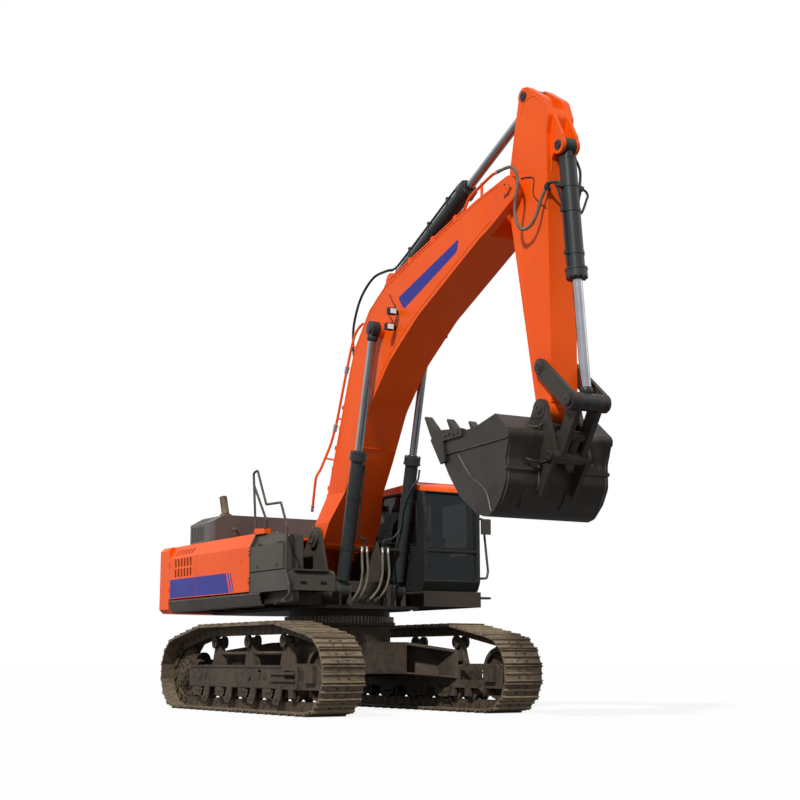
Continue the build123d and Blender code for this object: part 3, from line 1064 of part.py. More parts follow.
tooth_tip = (3508, 3688)
step = (tooth_tip[0] - tooth_root[0], tooth_tip[1] - tooth_root[1])
reach = math.hypot(*step)
ahead = (step[0] / reach, step[1] / reach)
across = (-ahead[1], ahead[0])


def beside_tooth(distance, height):
    return (tooth_root[0] + ahead[0] * distance + across[0] * height,
            tooth_root[1] + ahead[1] * distance + across[1] * height)


tooth_face = outline(beside_tooth(-120, 30), beside_tooth(60, 62), beside_tooth(180, 52), beside_tooth(reach, 12),
                     beside_tooth(reach, -12), beside_tooth(180, -52), beside_tooth(60, -62), beside_tooth(-120, -30))
for tooth in range(TEETH):
    y = (tooth / (TEETH - 1) - 0.5) * 2 * (BUCKET_HALF - CHEEK - 55)
    bucket += plate(tooth_face, y - 52, y + 52)
save("bucket", bucket)
save("bucket_sides", Compound(children=cheeks))
save("bucket_pin", pin_y(ARM_TIP, PIN, -EAR_INNER - EAR_PLATE, EAR_INNER + EAR_PLATE, 14))
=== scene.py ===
import math

import bpy
import numpy as np
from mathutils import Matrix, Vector


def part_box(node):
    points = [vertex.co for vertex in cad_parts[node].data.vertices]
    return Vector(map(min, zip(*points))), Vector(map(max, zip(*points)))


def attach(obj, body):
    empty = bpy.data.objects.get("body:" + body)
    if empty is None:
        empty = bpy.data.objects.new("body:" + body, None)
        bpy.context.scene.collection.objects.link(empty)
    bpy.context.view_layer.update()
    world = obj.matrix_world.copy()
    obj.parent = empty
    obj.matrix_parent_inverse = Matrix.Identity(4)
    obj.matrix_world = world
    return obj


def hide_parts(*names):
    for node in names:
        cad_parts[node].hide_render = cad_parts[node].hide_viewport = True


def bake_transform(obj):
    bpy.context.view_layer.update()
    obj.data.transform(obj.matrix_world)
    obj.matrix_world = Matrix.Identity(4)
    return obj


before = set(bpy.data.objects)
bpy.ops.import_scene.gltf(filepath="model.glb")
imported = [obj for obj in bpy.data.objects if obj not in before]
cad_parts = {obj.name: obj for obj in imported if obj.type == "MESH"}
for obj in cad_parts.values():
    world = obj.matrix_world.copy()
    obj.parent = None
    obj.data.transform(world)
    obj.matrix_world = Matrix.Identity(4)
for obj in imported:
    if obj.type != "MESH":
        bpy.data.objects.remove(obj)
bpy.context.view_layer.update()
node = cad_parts

# The stage: a pale floor, a white surround and soft light from above.
# The camera stands low in front of the right track and looks up a little, as the photograph's does.
EYE = Vector((18.783, -10.178, 0.690))
GAZE = Vector((-0.8454, 0.5042, 0.1763))
FOCAL_LENGTH = 65.67
camera = bpy.data.objects.new("camera", bpy.data.cameras.new("camera"))
camera.data.lens = FOCAL_LENGTH
camera.data.sensor_width = 36.0
camera.data.clip_end = 400.0
camera.location = EYE
camera.rotation_euler = GAZE.to_track_quat("-Z", "Y").to_euler()
bpy.context.scene.collection.objects.link(camera)
bpy.context.scene.camera = camera
bpy.context.scene.view_settings.view_transform = "Standard"

SKY_ON_OBJECT = 0.27
world = bpy.data.worlds.new("white surround")
bpy.context.scene.world = world
world.use_nodes = True
web = world.node_tree
web.nodes.clear()
rays = web.nodes.new("ShaderNodeLightPath")
seen = web.nodes.new("ShaderNodeMath")
seen.operation = "MAXIMUM"
web.links.new(rays.outputs["Is Camera Ray"], seen.inputs[0])
web.links.new(rays.outputs["Is Transmission Ray"], seen.inputs[1])
shown = web.nodes.new("ShaderNodeMath")
shown.operation = "MAXIMUM"
web.links.new(seen.outputs[0], shown.inputs[0])
web.links.new(rays.outputs["Is Glossy Ray"], shown.inputs[1])
dim = web.nodes.new("ShaderNodeBackground")
dim.inputs["Color"].default_value = (0.97, 0.98, 1.0, 1.0)
dim.inputs["Strength"].default_value = SKY_ON_OBJECT
white = web.nodes.new("ShaderNodeBackground")
white.inputs["Color"].default_value = (1.0, 1.0, 1.0, 1.0)
blend_sky = web.nodes.new("ShaderNodeMixShader")
web.links.new(shown.outputs[0], blend_sky.inputs[0])
web.links.new(dim.outputs[0], blend_sky.inputs[1])
web.links.new(white.outputs[0], blend_sky.inputs[2])
sky_out = web.nodes.new("ShaderNodeOutputWorld")
web.links.new(blend_sky.outputs[0], sky_out.inputs[0])

for name, towards, strength, softness in (("high sun", (-0.44, 0.62, -0.65), 3.55, 0.06),
                                          ("fill from the left", (-0.35, -0.80, -0.50), 0.35, 0.60)):
    lamp = bpy.data.objects.new(name, bpy.data.lights.new(name, "SUN"))
    lamp.data.energy = strength
    lamp.data.angle = softness
    lamp.rotation_euler = Vector(towards).to_track_quat("-Z", "Y").to_euler()
    bpy.context.scene.collection.objects.link(lamp)

FLOOR_HALF = 150.0
floor_mesh = bpy.data.meshes.new("floor")
floor_corners = [(x * FLOOR_HALF, y * FLOOR_HALF, -0.002) for x, y in ((-1, -1), (1, -1), (1, 1), (-1, 1))]
floor_mesh.from_pydata(floor_corners, [], [(0, 1, 2, 3)])
floor = bpy.data.objects.new("floor", floor_mesh)
bpy.context.scene.collection.objects.link(floor)
floor_finish = bpy.data.materials.new("pale floor")
floor_finish.use_nodes = True
web = floor_finish.node_tree
floor_colour = web.nodes["Principled BSDF"]
floor_colour.inputs["Base Color"].default_value = (0.30, 0.30, 0.30, 1.0)
floor_colour.inputs["Roughness"].default_value = 1.0
floor_colour.inputs["Specular IOR Level"].default_value = 0.0
rays = web.nodes.new("ShaderNodeLightPath")
share = web.nodes.new("ShaderNodeMath")
share.operation = "MULTIPLY"
share.inputs[1].default_value = 0.70
web.links.new(rays.outputs["Is Camera Ray"], share.inputs[0])
glow = web.nodes.new("ShaderNodeEmission")
glow.inputs["Strength"].default_value = 1.28
blend_floor = web.nodes.new("ShaderNodeMixShader")
web.links.new(share.outputs[0], blend_floor.inputs[0])
web.links.new(floor_colour.outputs[0], blend_floor.inputs[1])
web.links.new(glow.outputs[0], blend_floor.inputs[2])
web.links.new(blend_floor.outputs[0], web.nodes["Material Output"].inputs[0])
floor_mesh.materials.append(floor_finish)

# Tracks: two closed chains of forged links with a rolled steel shoe bolted on each link.
# Every shoe has three grousers. The steel is bare and polished on their tips, and dusty brown below them.


def linear(red, green, blue):
    """A colour of 0 to 255 as light: each share to the power 2.2."""
    return tuple((value / 255.0) ** 2.2 for value in (red, green, blue)) + (1.0,)


def finish(name, colour, second, rough, grain, patch=1.6, metal=0.0, dust=None, dust_share=0.0, bump=0.15,
           coat=0.0, streak=(1.0, 1.0, 1.0)):
    """A worked surface: two colours blended in patches, fine grain in its gloss and dust on what faces up."""
    made = bpy.data.materials.new(name)
    made.use_nodes = True
    web = made.node_tree
    shader = web.nodes["Principled BSDF"]
    shader.inputs["Metallic"].default_value = metal
    shader.inputs["Specular IOR Level"].default_value = 0.22
    shader.inputs["Coat Weight"].default_value = coat
    shader.inputs["Coat Roughness"].default_value = 0.12
    place = web.nodes.new("ShaderNodeTexCoord")
    spread = web.nodes.new("ShaderNodeMapping")
    spread.inputs["Scale"].default_value = streak
    web.links.new(place.outputs["Object"], spread.inputs["Vector"])
    patches = web.nodes.new("ShaderNodeTexNoise")
    patches.inputs["Scale"].default_value = patch
    patches.inputs["Detail"].default_value = 8.0
    patches.inputs["Roughness"].default_value = 0.62
    web.links.new(spread.outputs[0], patches.inputs["Vector"])
    fine = web.nodes.new("ShaderNodeTexNoise")
    fine.inputs["Scale"].default_value = grain
    fine.inputs["Detail"].default_value = 5.0
    web.links.new(spread.outputs[0], fine.inputs["Vector"])
    tone = web.nodes.new("ShaderNodeMix")
    tone.data_type = "RGBA"
    tone.inputs["A"].default_value = linear(*colour)
    tone.inputs["B"].default_value = linear(*second)
    spots = web.nodes.new("ShaderNodeMapRange")
    spots.inputs["From Min"].default_value = 0.38
    spots.inputs["From Max"].default_value = 0.68
    web.links.new(patches.outputs["Fac"], spots.inputs["Value"])
    web.links.new(spots.outputs[0], tone.inputs["Factor"])
    colour_out = tone.outputs["Result"]
    if dust:
        facing = web.nodes.new("ShaderNodeNewGeometry")
        upward = web.nodes.new("ShaderNodeSeparateXYZ")
        web.links.new(facing.outputs["Normal"], upward.inputs[0])
        settle = web.nodes.new("ShaderNodeMapRange")
        settle.inputs["From Min"].default_value = -0.2
        settle.inputs["From Max"].default_value = 0.9
        settle.inputs["To Max"].default_value = dust_share
        settle.inputs["To Min"].default_value = dust_share * 0.25
        web.links.new(upward.outputs["Z"], settle.inputs["Value"])
        uneven = web.nodes.new("ShaderNodeMath")
        uneven.operation = "MULTIPLY"
        web.links.new(settle.outputs[0], uneven.inputs[0])
        cloud = web.nodes.new("ShaderNodeMapRange")
        cloud.inputs["From Min"].default_value = 0.35
        cloud.inputs["From Max"].default_value = 0.62
        web.links.new(fine.outputs["Fac"], cloud.inputs["Value"])
        web.links.new(cloud.outputs[0], uneven.inputs[1])
        dusted = web.nodes.new("ShaderNodeMix")
        dusted.data_type = "RGBA"
        dusted.inputs["B"].default_value = linear(*dust)
        web.links.new(uneven.outputs[0], dusted.inputs["Factor"])
        web.links.new(colour_out, dusted.inputs["A"])
        colour_out = dusted.outputs["Result"]
    web.links.new(colour_out, shader.inputs["Base Color"])
    gloss = web.nodes.new("ShaderNodeMapRange")
    gloss.inputs["To Min"].default_value = rough - 0.08
    gloss.inputs["To Max"].default_value = rough + 0.12
    web.links.new(fine.outputs["Fac"], gloss.inputs["Value"])
    web.links.new(gloss.outputs[0], shader.inputs["Roughness"])
    relief = web.nodes.new("ShaderNodeBump")
    relief.inputs["Strength"].default_value = bump
    relief.inputs["Distance"].default_value = 0.004
    web.links.new(fine.outputs["Fac"], relief.inputs["Height"])
    web.links.new(relief.outputs[0], shader.inputs["Normal"])
    return made


def dress(material, *names):
    """CAD nodes that keep their own mesh get this finish."""
    for name in names:
        for slot in node[name].material_slots:
            slot.material = material


def put(name, body, parts, material, smooth=False):
    """One mesh of several (points, faces) pairs in a material slot of the CAD.

    It rides on a body, or on none where it runs between two."""
    points, faces, count = [], [], 0
    for some_points, some_faces in parts:
        some_points = np.asarray(some_points, float).reshape(-1, 3)
        points.append(some_points)
        faces.extend(tuple(int(i) + count for i in face) for face in some_faces)
        count += len(some_points)
    mesh = bpy.data.meshes.new(name)
    mesh.from_pydata(np.concatenate(points).tolist(), [], faces)
    mesh.update()
    mesh.materials.append(material)
    if smooth:
        mesh.shade_smooth()
        mesh.set_sharp_from_angle(angle=math.radians(38))
    piece = bpy.data.objects.new(name, mesh)
    bpy.context.scene.collection.objects.link(piece)
    if body:
        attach(piece, body)
    return piece


def prisms(outline, low, high, origin, right, up, out):
    """Copies of a flat outline given thickness.

    Point = origin + right * x + up * y of the outline + out * low or high, for every origin at once."""
    outline = np.asarray(outline, float)
    origin, right, up = (np.asarray(a, float).reshape(-1, 3) for a in (origin, right, up))
    count = max(len(origin), len(right), len(up))
    flat = (np.broadcast_to(origin, (count, 3))[:, None] + outline[None, :, :1] * right[:, None]
            + outline[None, :, 1:] * up[:, None])
    out = np.broadcast_to(np.asarray(out, float).reshape(-1, 3), (count, 3))[:, None]
    points = np.concatenate([flat + out * low, flat + out * high], axis=1)
    sides = len(outline)
    one = [tuple(range(sides))[::-1], tuple(range(sides, 2 * sides))]
    one += [(i, (i + 1) % sides, (i + 1) % sides + sides, i + sides) for i in range(sides)]
    faces = [tuple(i + k * 2 * sides for i in face) for k in range(count) for face in one]
    return points.reshape(-1, 3), faces


def ring(radius, sides):
    """Points of a regular polygon: radius times cosine and sine of the angle."""
    angle = np.arange(sides) * 2 * np.pi / sides
    return np.stack([radius * np.cos(angle), radius * np.sin(angle)], axis=1)


def bolts(places, outward, radius=0.014, height=0.011):
    """Hexagon heads standing on a surface, each a prism along its own outward direction."""
    places = np.asarray(places, float).reshape(-1, 3)
    outward = np.broadcast_to(np.asarray(outward, float).reshape(-1, 3), places.shape)
    outward = outward / np.linalg.norm(outward, axis=1, keepdims=True)
    helper = np.where(np.abs(outward[:, 2:]) > 0.9, [[1.0, 0.0, 0.0]], [[0.0, 0.0, 1.0]])
    right = np.cross(helper, outward)
    right /= np.linalg.norm(right, axis=1, keepdims=True)
    up = np.cross(outward, right)
    return prisms(ring(radius, 6), -0.002, height, places, right, up, outward)


GAUGE = 2.730
TRACK_LENGTH = 5.378
TRACK_HEIGHT = 1.223
WHEEL_HEIGHT = 1.060
TOP_RUN = 2.500
GROUSER = 0.034
SHOE_HALF = 0.300
SHOES = 52
WHEEL_X = TRACK_LENGTH / 2 - WHEEL_HEIGHT / 2
WHEEL_Z = WHEEL_HEIGHT / 2
PLATE_RADIUS = WHEEL_Z - GROUSER


def along_loop(share):
    """Points on the shoe plates' line: straight runs and an arc round each wheel, by share of its length."""
    top = TRACK_HEIGHT - GROUSER
    rise, run = top - WHEEL_Z, WHEEL_X - TOP_RUN / 2
    end = math.pi - math.atan2(rise, run) - math.acos(PLATE_RADIUS / math.hypot(run, rise))
    touch = np.array([WHEEL_X + PLATE_RADIUS * math.cos(end), WHEEL_Z + PLATE_RADIUS * math.sin(end)])
    bend = np.array([TOP_RUN / 2, top])
    flip = np.array([-1.0, 1.0])
    arc, slope = PLATE_RADIUS * (end + math.pi / 2), np.linalg.norm(bend - touch)
    lengths = np.array([2 * WHEEL_X, arc, slope, TOP_RUN, slope, arc])
    stops = np.concatenate([[0.0], np.cumsum(lengths)])
    s = (np.asarray(share) % 1.0) * stops[-1]
    part = [((s - stops[i]) / lengths[i])[:, None] for i in range(6)]
    turn_front = -math.pi / 2 + part[1] * (end + math.pi / 2)
    turn_rear = math.pi - end + part[5] * (end + math.pi / 2)
    front_wheel, rear_wheel = np.array([WHEEL_X, WHEEL_Z]), np.array([-WHEEL_X, WHEEL_Z])
    pieces = [np.array([-WHEEL_X, GROUSER]) + part[0] * np.array([2 * WHEEL_X, 0.0]),
              front_wheel + PLATE_RADIUS * np.concatenate([np.cos(turn_front), np.sin(turn_front)], 1),
              touch + part[2] * (bend - touch),
              bend + part[3] * np.array([-TOP_RUN, 0.0]),
              bend * flip + part[4] * (touch - bend) * flip,
              rear_wheel + PLATE_RADIUS * np.concatenate([np.cos(turn_rear), np.sin(turn_rear)], 1)]
    which = np.clip(np.searchsorted(stops, s, side="right") - 1, 0, 5)
    return np.choose(which[:, None], pieces)


ends = along_loop(np.arange(SHOES + 1) / SHOES)
ends[-1] = ends[0]
step = ends[1:] - ends[:-1]
pitch = float(np.linalg.norm(step[0]))
step /= np.linalg.norm(step, axis=1, keepdims=True)
travel = np.stack([step[:, 0], np.zeros(SHOES), step[:, 1]], 1)
outward = np.stack([step[:, 1], np.zeros(SHOES), -step[:, 0]], 1)
joint = np.stack([ends[:-1, 0], np.zeros(SHOES), ends[:-1, 1]], 1)
Y = np.array([0.0, 1.0, 0.0])

shoe_steel = finish("bare shoe steel", (118, 104, 88), (72, 63, 54), 0.55, 38.0, patch=3.2, metal=0.35,
                    dust=(168, 148, 120), dust_share=0.55, bump=0.5, streak=(1.0, 0.25, 1.0))
link_steel = finish("dusty link steel", (70, 60, 50), (44, 39, 35), 0.62, 24.0, patch=4.0, metal=0.2,
                    dust=(140, 120, 96), dust_share=0.6, bump=0.45)
shoe_line = np.array([(0.02, -0.016), (1.035, -0.019), (1.045, -0.006), (0.99, 0.003), (0.958, 0.030),
                      (0.93, 0.034), (0.90, 0.029), (0.865, 0.002), (0.57, 0.0), (0.52, 0.024), (0.50, 0.027),
                      (0.48, 0.024), (0.43, 0.0), (0.135, 0.002), (0.095, 0.029), (0.065, 0.034),
                      (0.037, 0.030), (0.012, 0.001)])
shoe_line[:, 0] *= pitch
link_line = np.array([(0.04, -0.018), (0.90, -0.018), (0.985, -0.040), (1.13, -0.052), (1.19, -0.090),
                      (1.13, -0.126), (0.97, -0.137), (0.10, -0.137), (0.02, -0.128), (-0.10, -0.112),
                      (-0.13, -0.085), (-0.07, -0.050)])
link_line[:, 0] *= pitch
LINK_WIDTH = 0.046
PIN_AHEAD = pitch * 0.03
PIN_BELOW = 0.088
for side, label in ((1, "left"), (-1, "right")):
    base = joint + Y * side * GAUGE / 2
    parts = [prisms(shoe_line, -SHOE_HALF, SHOE_HALF, base, travel, outward, Y)]
    track = put("track_shoes_" + label, "undercarriage", parts, shoe_steel)
    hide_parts("track_loop_" + label)
    boss = base + travel * PIN_AHEAD - outward * PIN_BELOW
    parts = []
    for low in (-0.095, 0.049):
        parts.append(prisms(link_line, low, low + LINK_WIDTH, base, travel, outward, Y))
        parts.append(prisms(ring(0.040, 14), low - 0.006, low + LINK_WIDTH + 0.006, boss, travel, outward, Y))
    parts.append(prisms(ring(0.030, 10), -0.06, 0.06, boss, travel, outward, Y))
    heads = [base + travel * pitch * along + Y * across
             for along in (0.27, 0.71) for across in (-0.072, 0.072)]
    parts.append(bolts(np.concatenate(heads), np.tile(outward, (4, 1)), 0.016, 0.012))
    put("track_links_" + label, "undercarriage", parts, link_steel)

# Track frames: welded box beams with rollers below, idlers in front, drives behind and carrier rollers on
# posts. Painted dark, but brown with dried dust. Bolted guard plates hang between the rollers.
X, Z = np.array([1.0, 0.0, 0.0]), np.array([0.0, 0.0, 1.0])
PLANES = {"x": (Y, Z, X), "y": (X, Z, -Y), "z": (X, Y, Z)}


def rectangle(left, right, low, high):
    """The four corners of a flat rectangle, in turn."""
    return [(left, low), (right, low), (right, high), (left, high)]


def soften(corners, radius, steps=5):
    """A polygon with round corners: on each, a curve of second order between two points of its edges, each
    one radius away from the corner."""
    corners = np.asarray(corners, float)
    before, after = np.roll(corners, 1, 0) - corners, np.roll(corners, -1, 0) - corners
    before *= radius / np.linalg.norm(before, axis=1, keepdims=True)
    after *= radius / np.linalg.norm(after, axis=1, keepdims=True)
    t = np.linspace(0, 1, steps)[None, :, None]
    curve = corners[:, None] + before[:, None] * (1 - t) ** 2 + after[:, None] * t ** 2
    return curve.reshape(-1, 2)


def slab(axis, outline, low, high):
    """A plate square to an axis, from low to high on it, its outline in the other two axes in their order."""
    outline = np.asarray(outline, float)
    ahead = np.roll(outline, -1, 0)
    if np.sum(outline[:, 0] * ahead[:, 1] - outline[:, 1] * ahead[:, 0]) < 0:
        outline = outline[::-1]
    low, high = min(low, high), max(low, high)
    if axis == "y":
        low, high = -high, -low
    return prisms(outline, low, high, (0.0, 0.0, 0.0), *PLANES[axis])


def box(low, high):
    """A rectangular piece between two opposite corners."""
    (rear, right, bottom), (front, left, top) = low, high
    return slab("z", rectangle(rear, front, right, left), bottom, top)


def square_to(ahead):
    """Two directions of length one, square to a direction of length one and to each other."""
    right = np.cross(ahead, np.eye(3)[np.argmin(np.abs(ahead))])
    right /= np.linalg.norm(right)
    return right, np.cross(ahead, right)


def turned(profile, origin, ahead, sides=28, capped=True):
    """A round piece: at each distance along its line a circle of that radius, with flat ends if capped."""
    profile = np.asarray(profile, float)
    ahead = np.asarray(ahead, float) / np.linalg.norm(ahead)
    right, up = square_to(ahead)
    angle = np.arange(sides) * 2 * np.pi / sides
    circle = np.cos(angle)[:, None] * right + np.sin(angle)[:, None] * up
    points = np.asarray(origin, float) + profile[:, :1, None] * ahead + profile[:, 1:, None] * circle
    i, j = np.meshgrid(np.arange(len(profile) - 1) * sides, np.arange(sides), indexing="ij")
    k = (j + 1) % sides
    faces = np.stack([i + j, i + k, i + k + sides, i + j + sides], -1).reshape(-1, 4).tolist()
    last = (len(profile) - 1) * sides
    ends = [list(range(sides))[::-1], list(range(last, last + sides))] if capped else []
    return points.reshape(-1, 3), faces + ends


def around(centre, outward, radius, count, turn=0.0):
    """Places at equal steps on a circle round a line."""
    right, up = square_to(np.asarray(outward, float) / np.linalg.norm(outward))
    angle = turn + np.arange(count)[:, None] * 2 * np.pi / count
    return np.asarray(centre, float) + radius * (np.cos(angle) * right + np.sin(angle) * up)


def row(start, end, count):
    """Places at equal steps on a straight line."""
    return np.linspace(np.asarray(start, float), np.asarray(end, float), count)


frame_paint = finish("dusty frame paint", (70, 62, 55), (46, 40, 36), 0.70, 14.0, patch=2.2,
                     dust=(112, 96, 78), dust_share=0.60, bump=0.35)
worn_steel = finish("worn bolt steel", (112, 102, 90), (66, 58, 50), 0.5, 30.0, patch=6.0, metal=0.6,
                    bump=0.3)
dress(frame_paint, "track_frame_left", "track_frame_right", "track_rollers", "idlers", "sprockets",
      "final_drives", "carbody")
FRAME_FACE = 0.190
WHEEL_LINE = 0.530
GUARD_PLATE = 0.018
PAD_PLATE = 0.012
RIB = 0.014
guard_line = soften([(-0.155, 0.34), (0.155, 0.34), (0.13, 0.20), (0.075, 0.125), (-0.075, 0.125),
                     (-0.13, 0.20)], 0.02)
guard_boss = [(-0.001, 0.036), (0.010, 0.036), (0.014, 0.030), (0.014, 0.018)]
grease_boss = [(-0.01, 0.060), (0.016, 0.060), (0.020, 0.052), (0.020, 0.030)]
hub_cover = [(-0.004, 0.150), (0.020, 0.150), (0.030, 0.138), (0.032, 0.060), (0.040, 0.052), (0.044, 0.0)]
drive_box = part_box("final_drives")
for side, label in ((1, "left"), (-1, "right")):
    face = side * (GAUGE / 2 + FRAME_FACE)
    out = Y * side
    parts, heads = [], []
    for x in (-1.17, -0.39, 0.39, 1.17):
        front = face + side * GUARD_PLATE
        parts.append(slab("y", guard_line + (x, 0.0), face, front))
        parts.append(turned(guard_boss, (x, front, 0.205), out, 16))
        heads.append(row((x - 0.09, front, 0.30), (x + 0.09, front, 0.30), 2))
    for x in (-1.36, -1.20, 0.62, 0.78):
        front = face + side * PAD_PLATE
        parts.append(slab("y", soften(rectangle(x - 0.045, x + 0.045, 0.455, 0.545), 0.012, 3), face, front))
        heads.append(np.array([(x, front, 0.5)]))
    for z in (0.355, 0.622):
        parts.append(slab("y", rectangle(-1.74, 1.30, z - 0.012, z + 0.012), face, face + side * RIB))
    parts.append(turned(grease_boss, (0.30, face, 0.50), out, 18))
    for z in (0.445, 0.535):
        bar_line = soften(rectangle(0.98, 1.72, z - 0.016, z + 0.016), 0.012, 3)
        parts.append(slab("y", bar_line, face - side * 0.002, face + side * 0.03))
    parts.append(slab("y", rectangle(1.74, 1.80, 0.36, 0.62), face - side * 0.004, face + side * 0.022))
    hub = np.array([-WHEEL_X, drive_box[1][1] if side > 0 else drive_box[0][1], WHEEL_LINE])
    parts.append(turned(hub_cover, hub, out, 32))
    heads += [around(hub, out, 0.185, 14), around(hub + out * 0.031, out, 0.105, 8)]
    put("frame_fittings_" + label, "undercarriage", parts, frame_paint, smooth=True)
    parts = [bolts(np.concatenate(heads), out, 0.017, 0.013)]
    put("frame_bolts_" + label, "undercarriage", parts, worn_steel)

# Slewing ring and revolving frame: a ring of hardened teeth bolted down, and a welded deck of thick plates,
# painted dark. The two tall towers of plate carry the boom's foot pin.
ring_steel = finish("ring steel", (92, 86, 80), (58, 54, 50), 0.42, 30.0, metal=0.8, dust=(120, 104, 84),
                    dust_share=0.4)
deck_paint = finish("dark deck paint", (50, 43, 38), (36, 32, 29), 0.55, 12.0, dust=(84, 74, 62),
                    dust_share=0.30)
tower_paint = finish("dark brown deck paint", (58, 51, 46), (47, 42, 38), 0.48, 40.0, patch=1.3,
                     dust=(92, 82, 70), dust_share=0.3)
dress(ring_steel, "slewing_ring")
dress(deck_paint, "revolving_frame")
collar = around((0.0, 0.0, 1.225), Z, 0.800, 40)
put("ring_bolts", "undercarriage", [bolts(collar, Z, 0.014, 0.014)], worn_steel)


def smooth_line(points, step):
    """A line through points, cut at even steps: each piece is a cubic whose slope at an end is half the step
    between the neighbours of that end."""
    points = np.asarray(points, float)
    wide = np.concatenate([2 * points[:1] - points[1:2], points, 2 * points[-1:] - points[-2:-1]])
    length = np.linalg.norm(np.diff(points, axis=0), axis=1).sum()
    count = max(int(length / step), 2 * len(points)) + 1
    place = np.linspace(0, len(points) - 1, count)
    index = np.minimum(place.astype(int), len(points) - 2)
    t = (place - index)[:, None]
    before, start, end, after = (wide[index + k] for k in range(4))
    return 0.5 * (2 * start + (end - before) * t + (2 * before - 5 * start + 4 * end - after) * t ** 2
                  + (3 * start - before - 3 * end + after) * t ** 3)


def tube(path, radius, sides, closed=False):
    """A round bar: at each point of the path a circle square to it, of one radius or of a radius for each."""
    path = np.asarray(path, float)
    ahead = np.roll(path, -1, 0) - np.roll(path, 1, 0) if closed else np.gradient(path, axis=0)
    ahead /= np.linalg.norm(ahead, axis=1, keepdims=True)
    right = np.cross(ahead, np.eye(3)[np.argmin(np.abs(ahead).mean(0))])
    right /= np.linalg.norm(right, axis=1, keepdims=True)
    up = np.cross(ahead, right)
    angle = (np.arange(sides) * 2 * np.pi / sides)[None, :, None]
    radius = np.broadcast_to(np.asarray(radius, float), (len(path),))[:, None, None]
    points = path[:, None] + radius * (np.cos(angle) * right[:, None] + np.sin(angle) * up[:, None])
    rows = np.arange(len(path) if closed else len(path) - 1)
    i, j = np.meshgrid(rows, np.arange(sides), indexing="ij")
    here, following, k = i * sides, (i + 1) % len(path) * sides, (j + 1) % sides
    faces = np.stack([here + j, here + k, following + k, following + j], -1).reshape(-1, 4).tolist()
    if not closed:
        last = (len(path) - 1) * sides
        faces += [list(range(sides))[::-1], list(range(last, last + sides))]
    return points.reshape(-1, 3), faces


def weld(points, radius):
    """A weld bead: a thin bar of six sides along a line that is cut every 7 mm."""
    step = 0.007
    if len(points) > 2:
        line = smooth_line(points, step)
    else:
        line = row(*points, max(int(math.dist(*points) / step), 3))
    return tube(line, radius, 6)


# The boom's foot: on each tower a cast boss round the pin, a turned cap, four bolts and welds to the deck.
FOOT_X, FOOT_Z = 0.12, 2.42
TOWER_Y = 0.438
TOWER_OUT = 0.432 + 0.040
DECK_SEAM = 1.459
tower_boss = [(-0.002, 0.128), (0.030, 0.126), (0.046, 0.112)]
foot_cap = [(-0.001, 0.066), (0.006, 0.064), (0.008, 0.056), (0.005, 0.052), (0.005, 0.0)]
parts, heads = [], []
for side in (-1, 1):
    out = Y * side
    parts.append(turned(tower_boss, (FOOT_X, side * TOWER_OUT, FOOT_Z), out))
    cap_place = np.array([FOOT_X, side * 0.5275, FOOT_Z])
    parts.append(turned(foot_cap, cap_place, out))
    heads.append(bolts(around(cap_place - out * 0.0105, out, 0.092, 4, 0.6), out))
    seam_y = side * (TOWER_OUT + 0.001)
    parts.append(weld([(-0.88, seam_y, DECK_SEAM), (0.60, seam_y, DECK_SEAM)], 0.008))
    for y in (side * TOWER_Y + 0.094, side * TOWER_Y - 0.094):
        parts.append(weld([(0.70, y, DECK_SEAM), (0.965, y, DECK_SEAM)], 0.007))
put("tower_bosses", "upperstructure", parts, tower_paint, smooth=True)
put("tower_bolts", "upperstructure", heads, worn_steel)

# House: folded sheet doors and covers round the engine. The doors and the cast counterweight are orange,
# the hood, the skirts, the tank and the boxes a warm dark grey. Latches are flush plates with a key disc.
orange = finish("orange paint", (238, 88, 16), (230, 80, 12), 0.40, 60.0, patch=0.9, dust=(206, 98, 40),
                dust_share=0.05, bump=0.05)
grey = finish("warm grey paint", (71, 66, 60), (60, 56, 51), 0.44, 55.0, patch=1.1, dust=(92, 86, 76),
              dust_share=0.22, bump=0.08)
# The hood takes a lighter copy of the warm grey: painted light, standing in for the light on its lit top.
hood_grey_with_painted_light = finish("hood grey with painted light", (88, 85, 82), (76, 73, 70), 0.42, 55.0, patch=1.1, dust=(110, 103, 94),
                    dust_share=0.18, bump=0.08)
blue = finish("blue stripe film", (40, 42, 136), (36, 38, 126), 0.38, 70.0, bump=0.02)
pipe_scale = finish("sooted exhaust pipe", (112, 98, 80), (74, 64, 54), 0.62, 40.0, patch=5.0, bump=0.2)
dress(orange, "counterweight", "right_rear_door", "right_front_door", "left_rear_door", "left_front_door",
      "house_covers")
dress(grey, "boom_towers", "side_skirts", "fuel_tank", "storage_box", "storage_door", "step_box", "handrails",
      "house_posts")
dress(tower_paint, "cab_deck")
dress(hood_grey_with_painted_light, "engine_hood")
dress(deck_paint, "engine_block")
dress(pipe_scale, "exhaust_stack")
DOOR_FACE = 1.495
FILM = 0.0009
STRIPE_LOW, STRIPE_TOP = 1.656, 1.942
STRIPE_LEAN = 0.13
LATCH_LOW, LATCH_TOP = 2.04, 2.12
key_disc = [(0.003, 0.017), (0.007, 0.017), (0.009, 0.013), (0.009, 0.0)]


def stripe(low_start, low_end, top_start, top_end, face, side):
    """A band of film on a door: four corners on the lower and the upper edge of the stripe."""
    corners = [(low_start, STRIPE_LOW), (low_end, STRIPE_LOW), (top_end, STRIPE_TOP), (top_start, STRIPE_TOP)]
    return slab("y", corners, face, face + side * FILM)


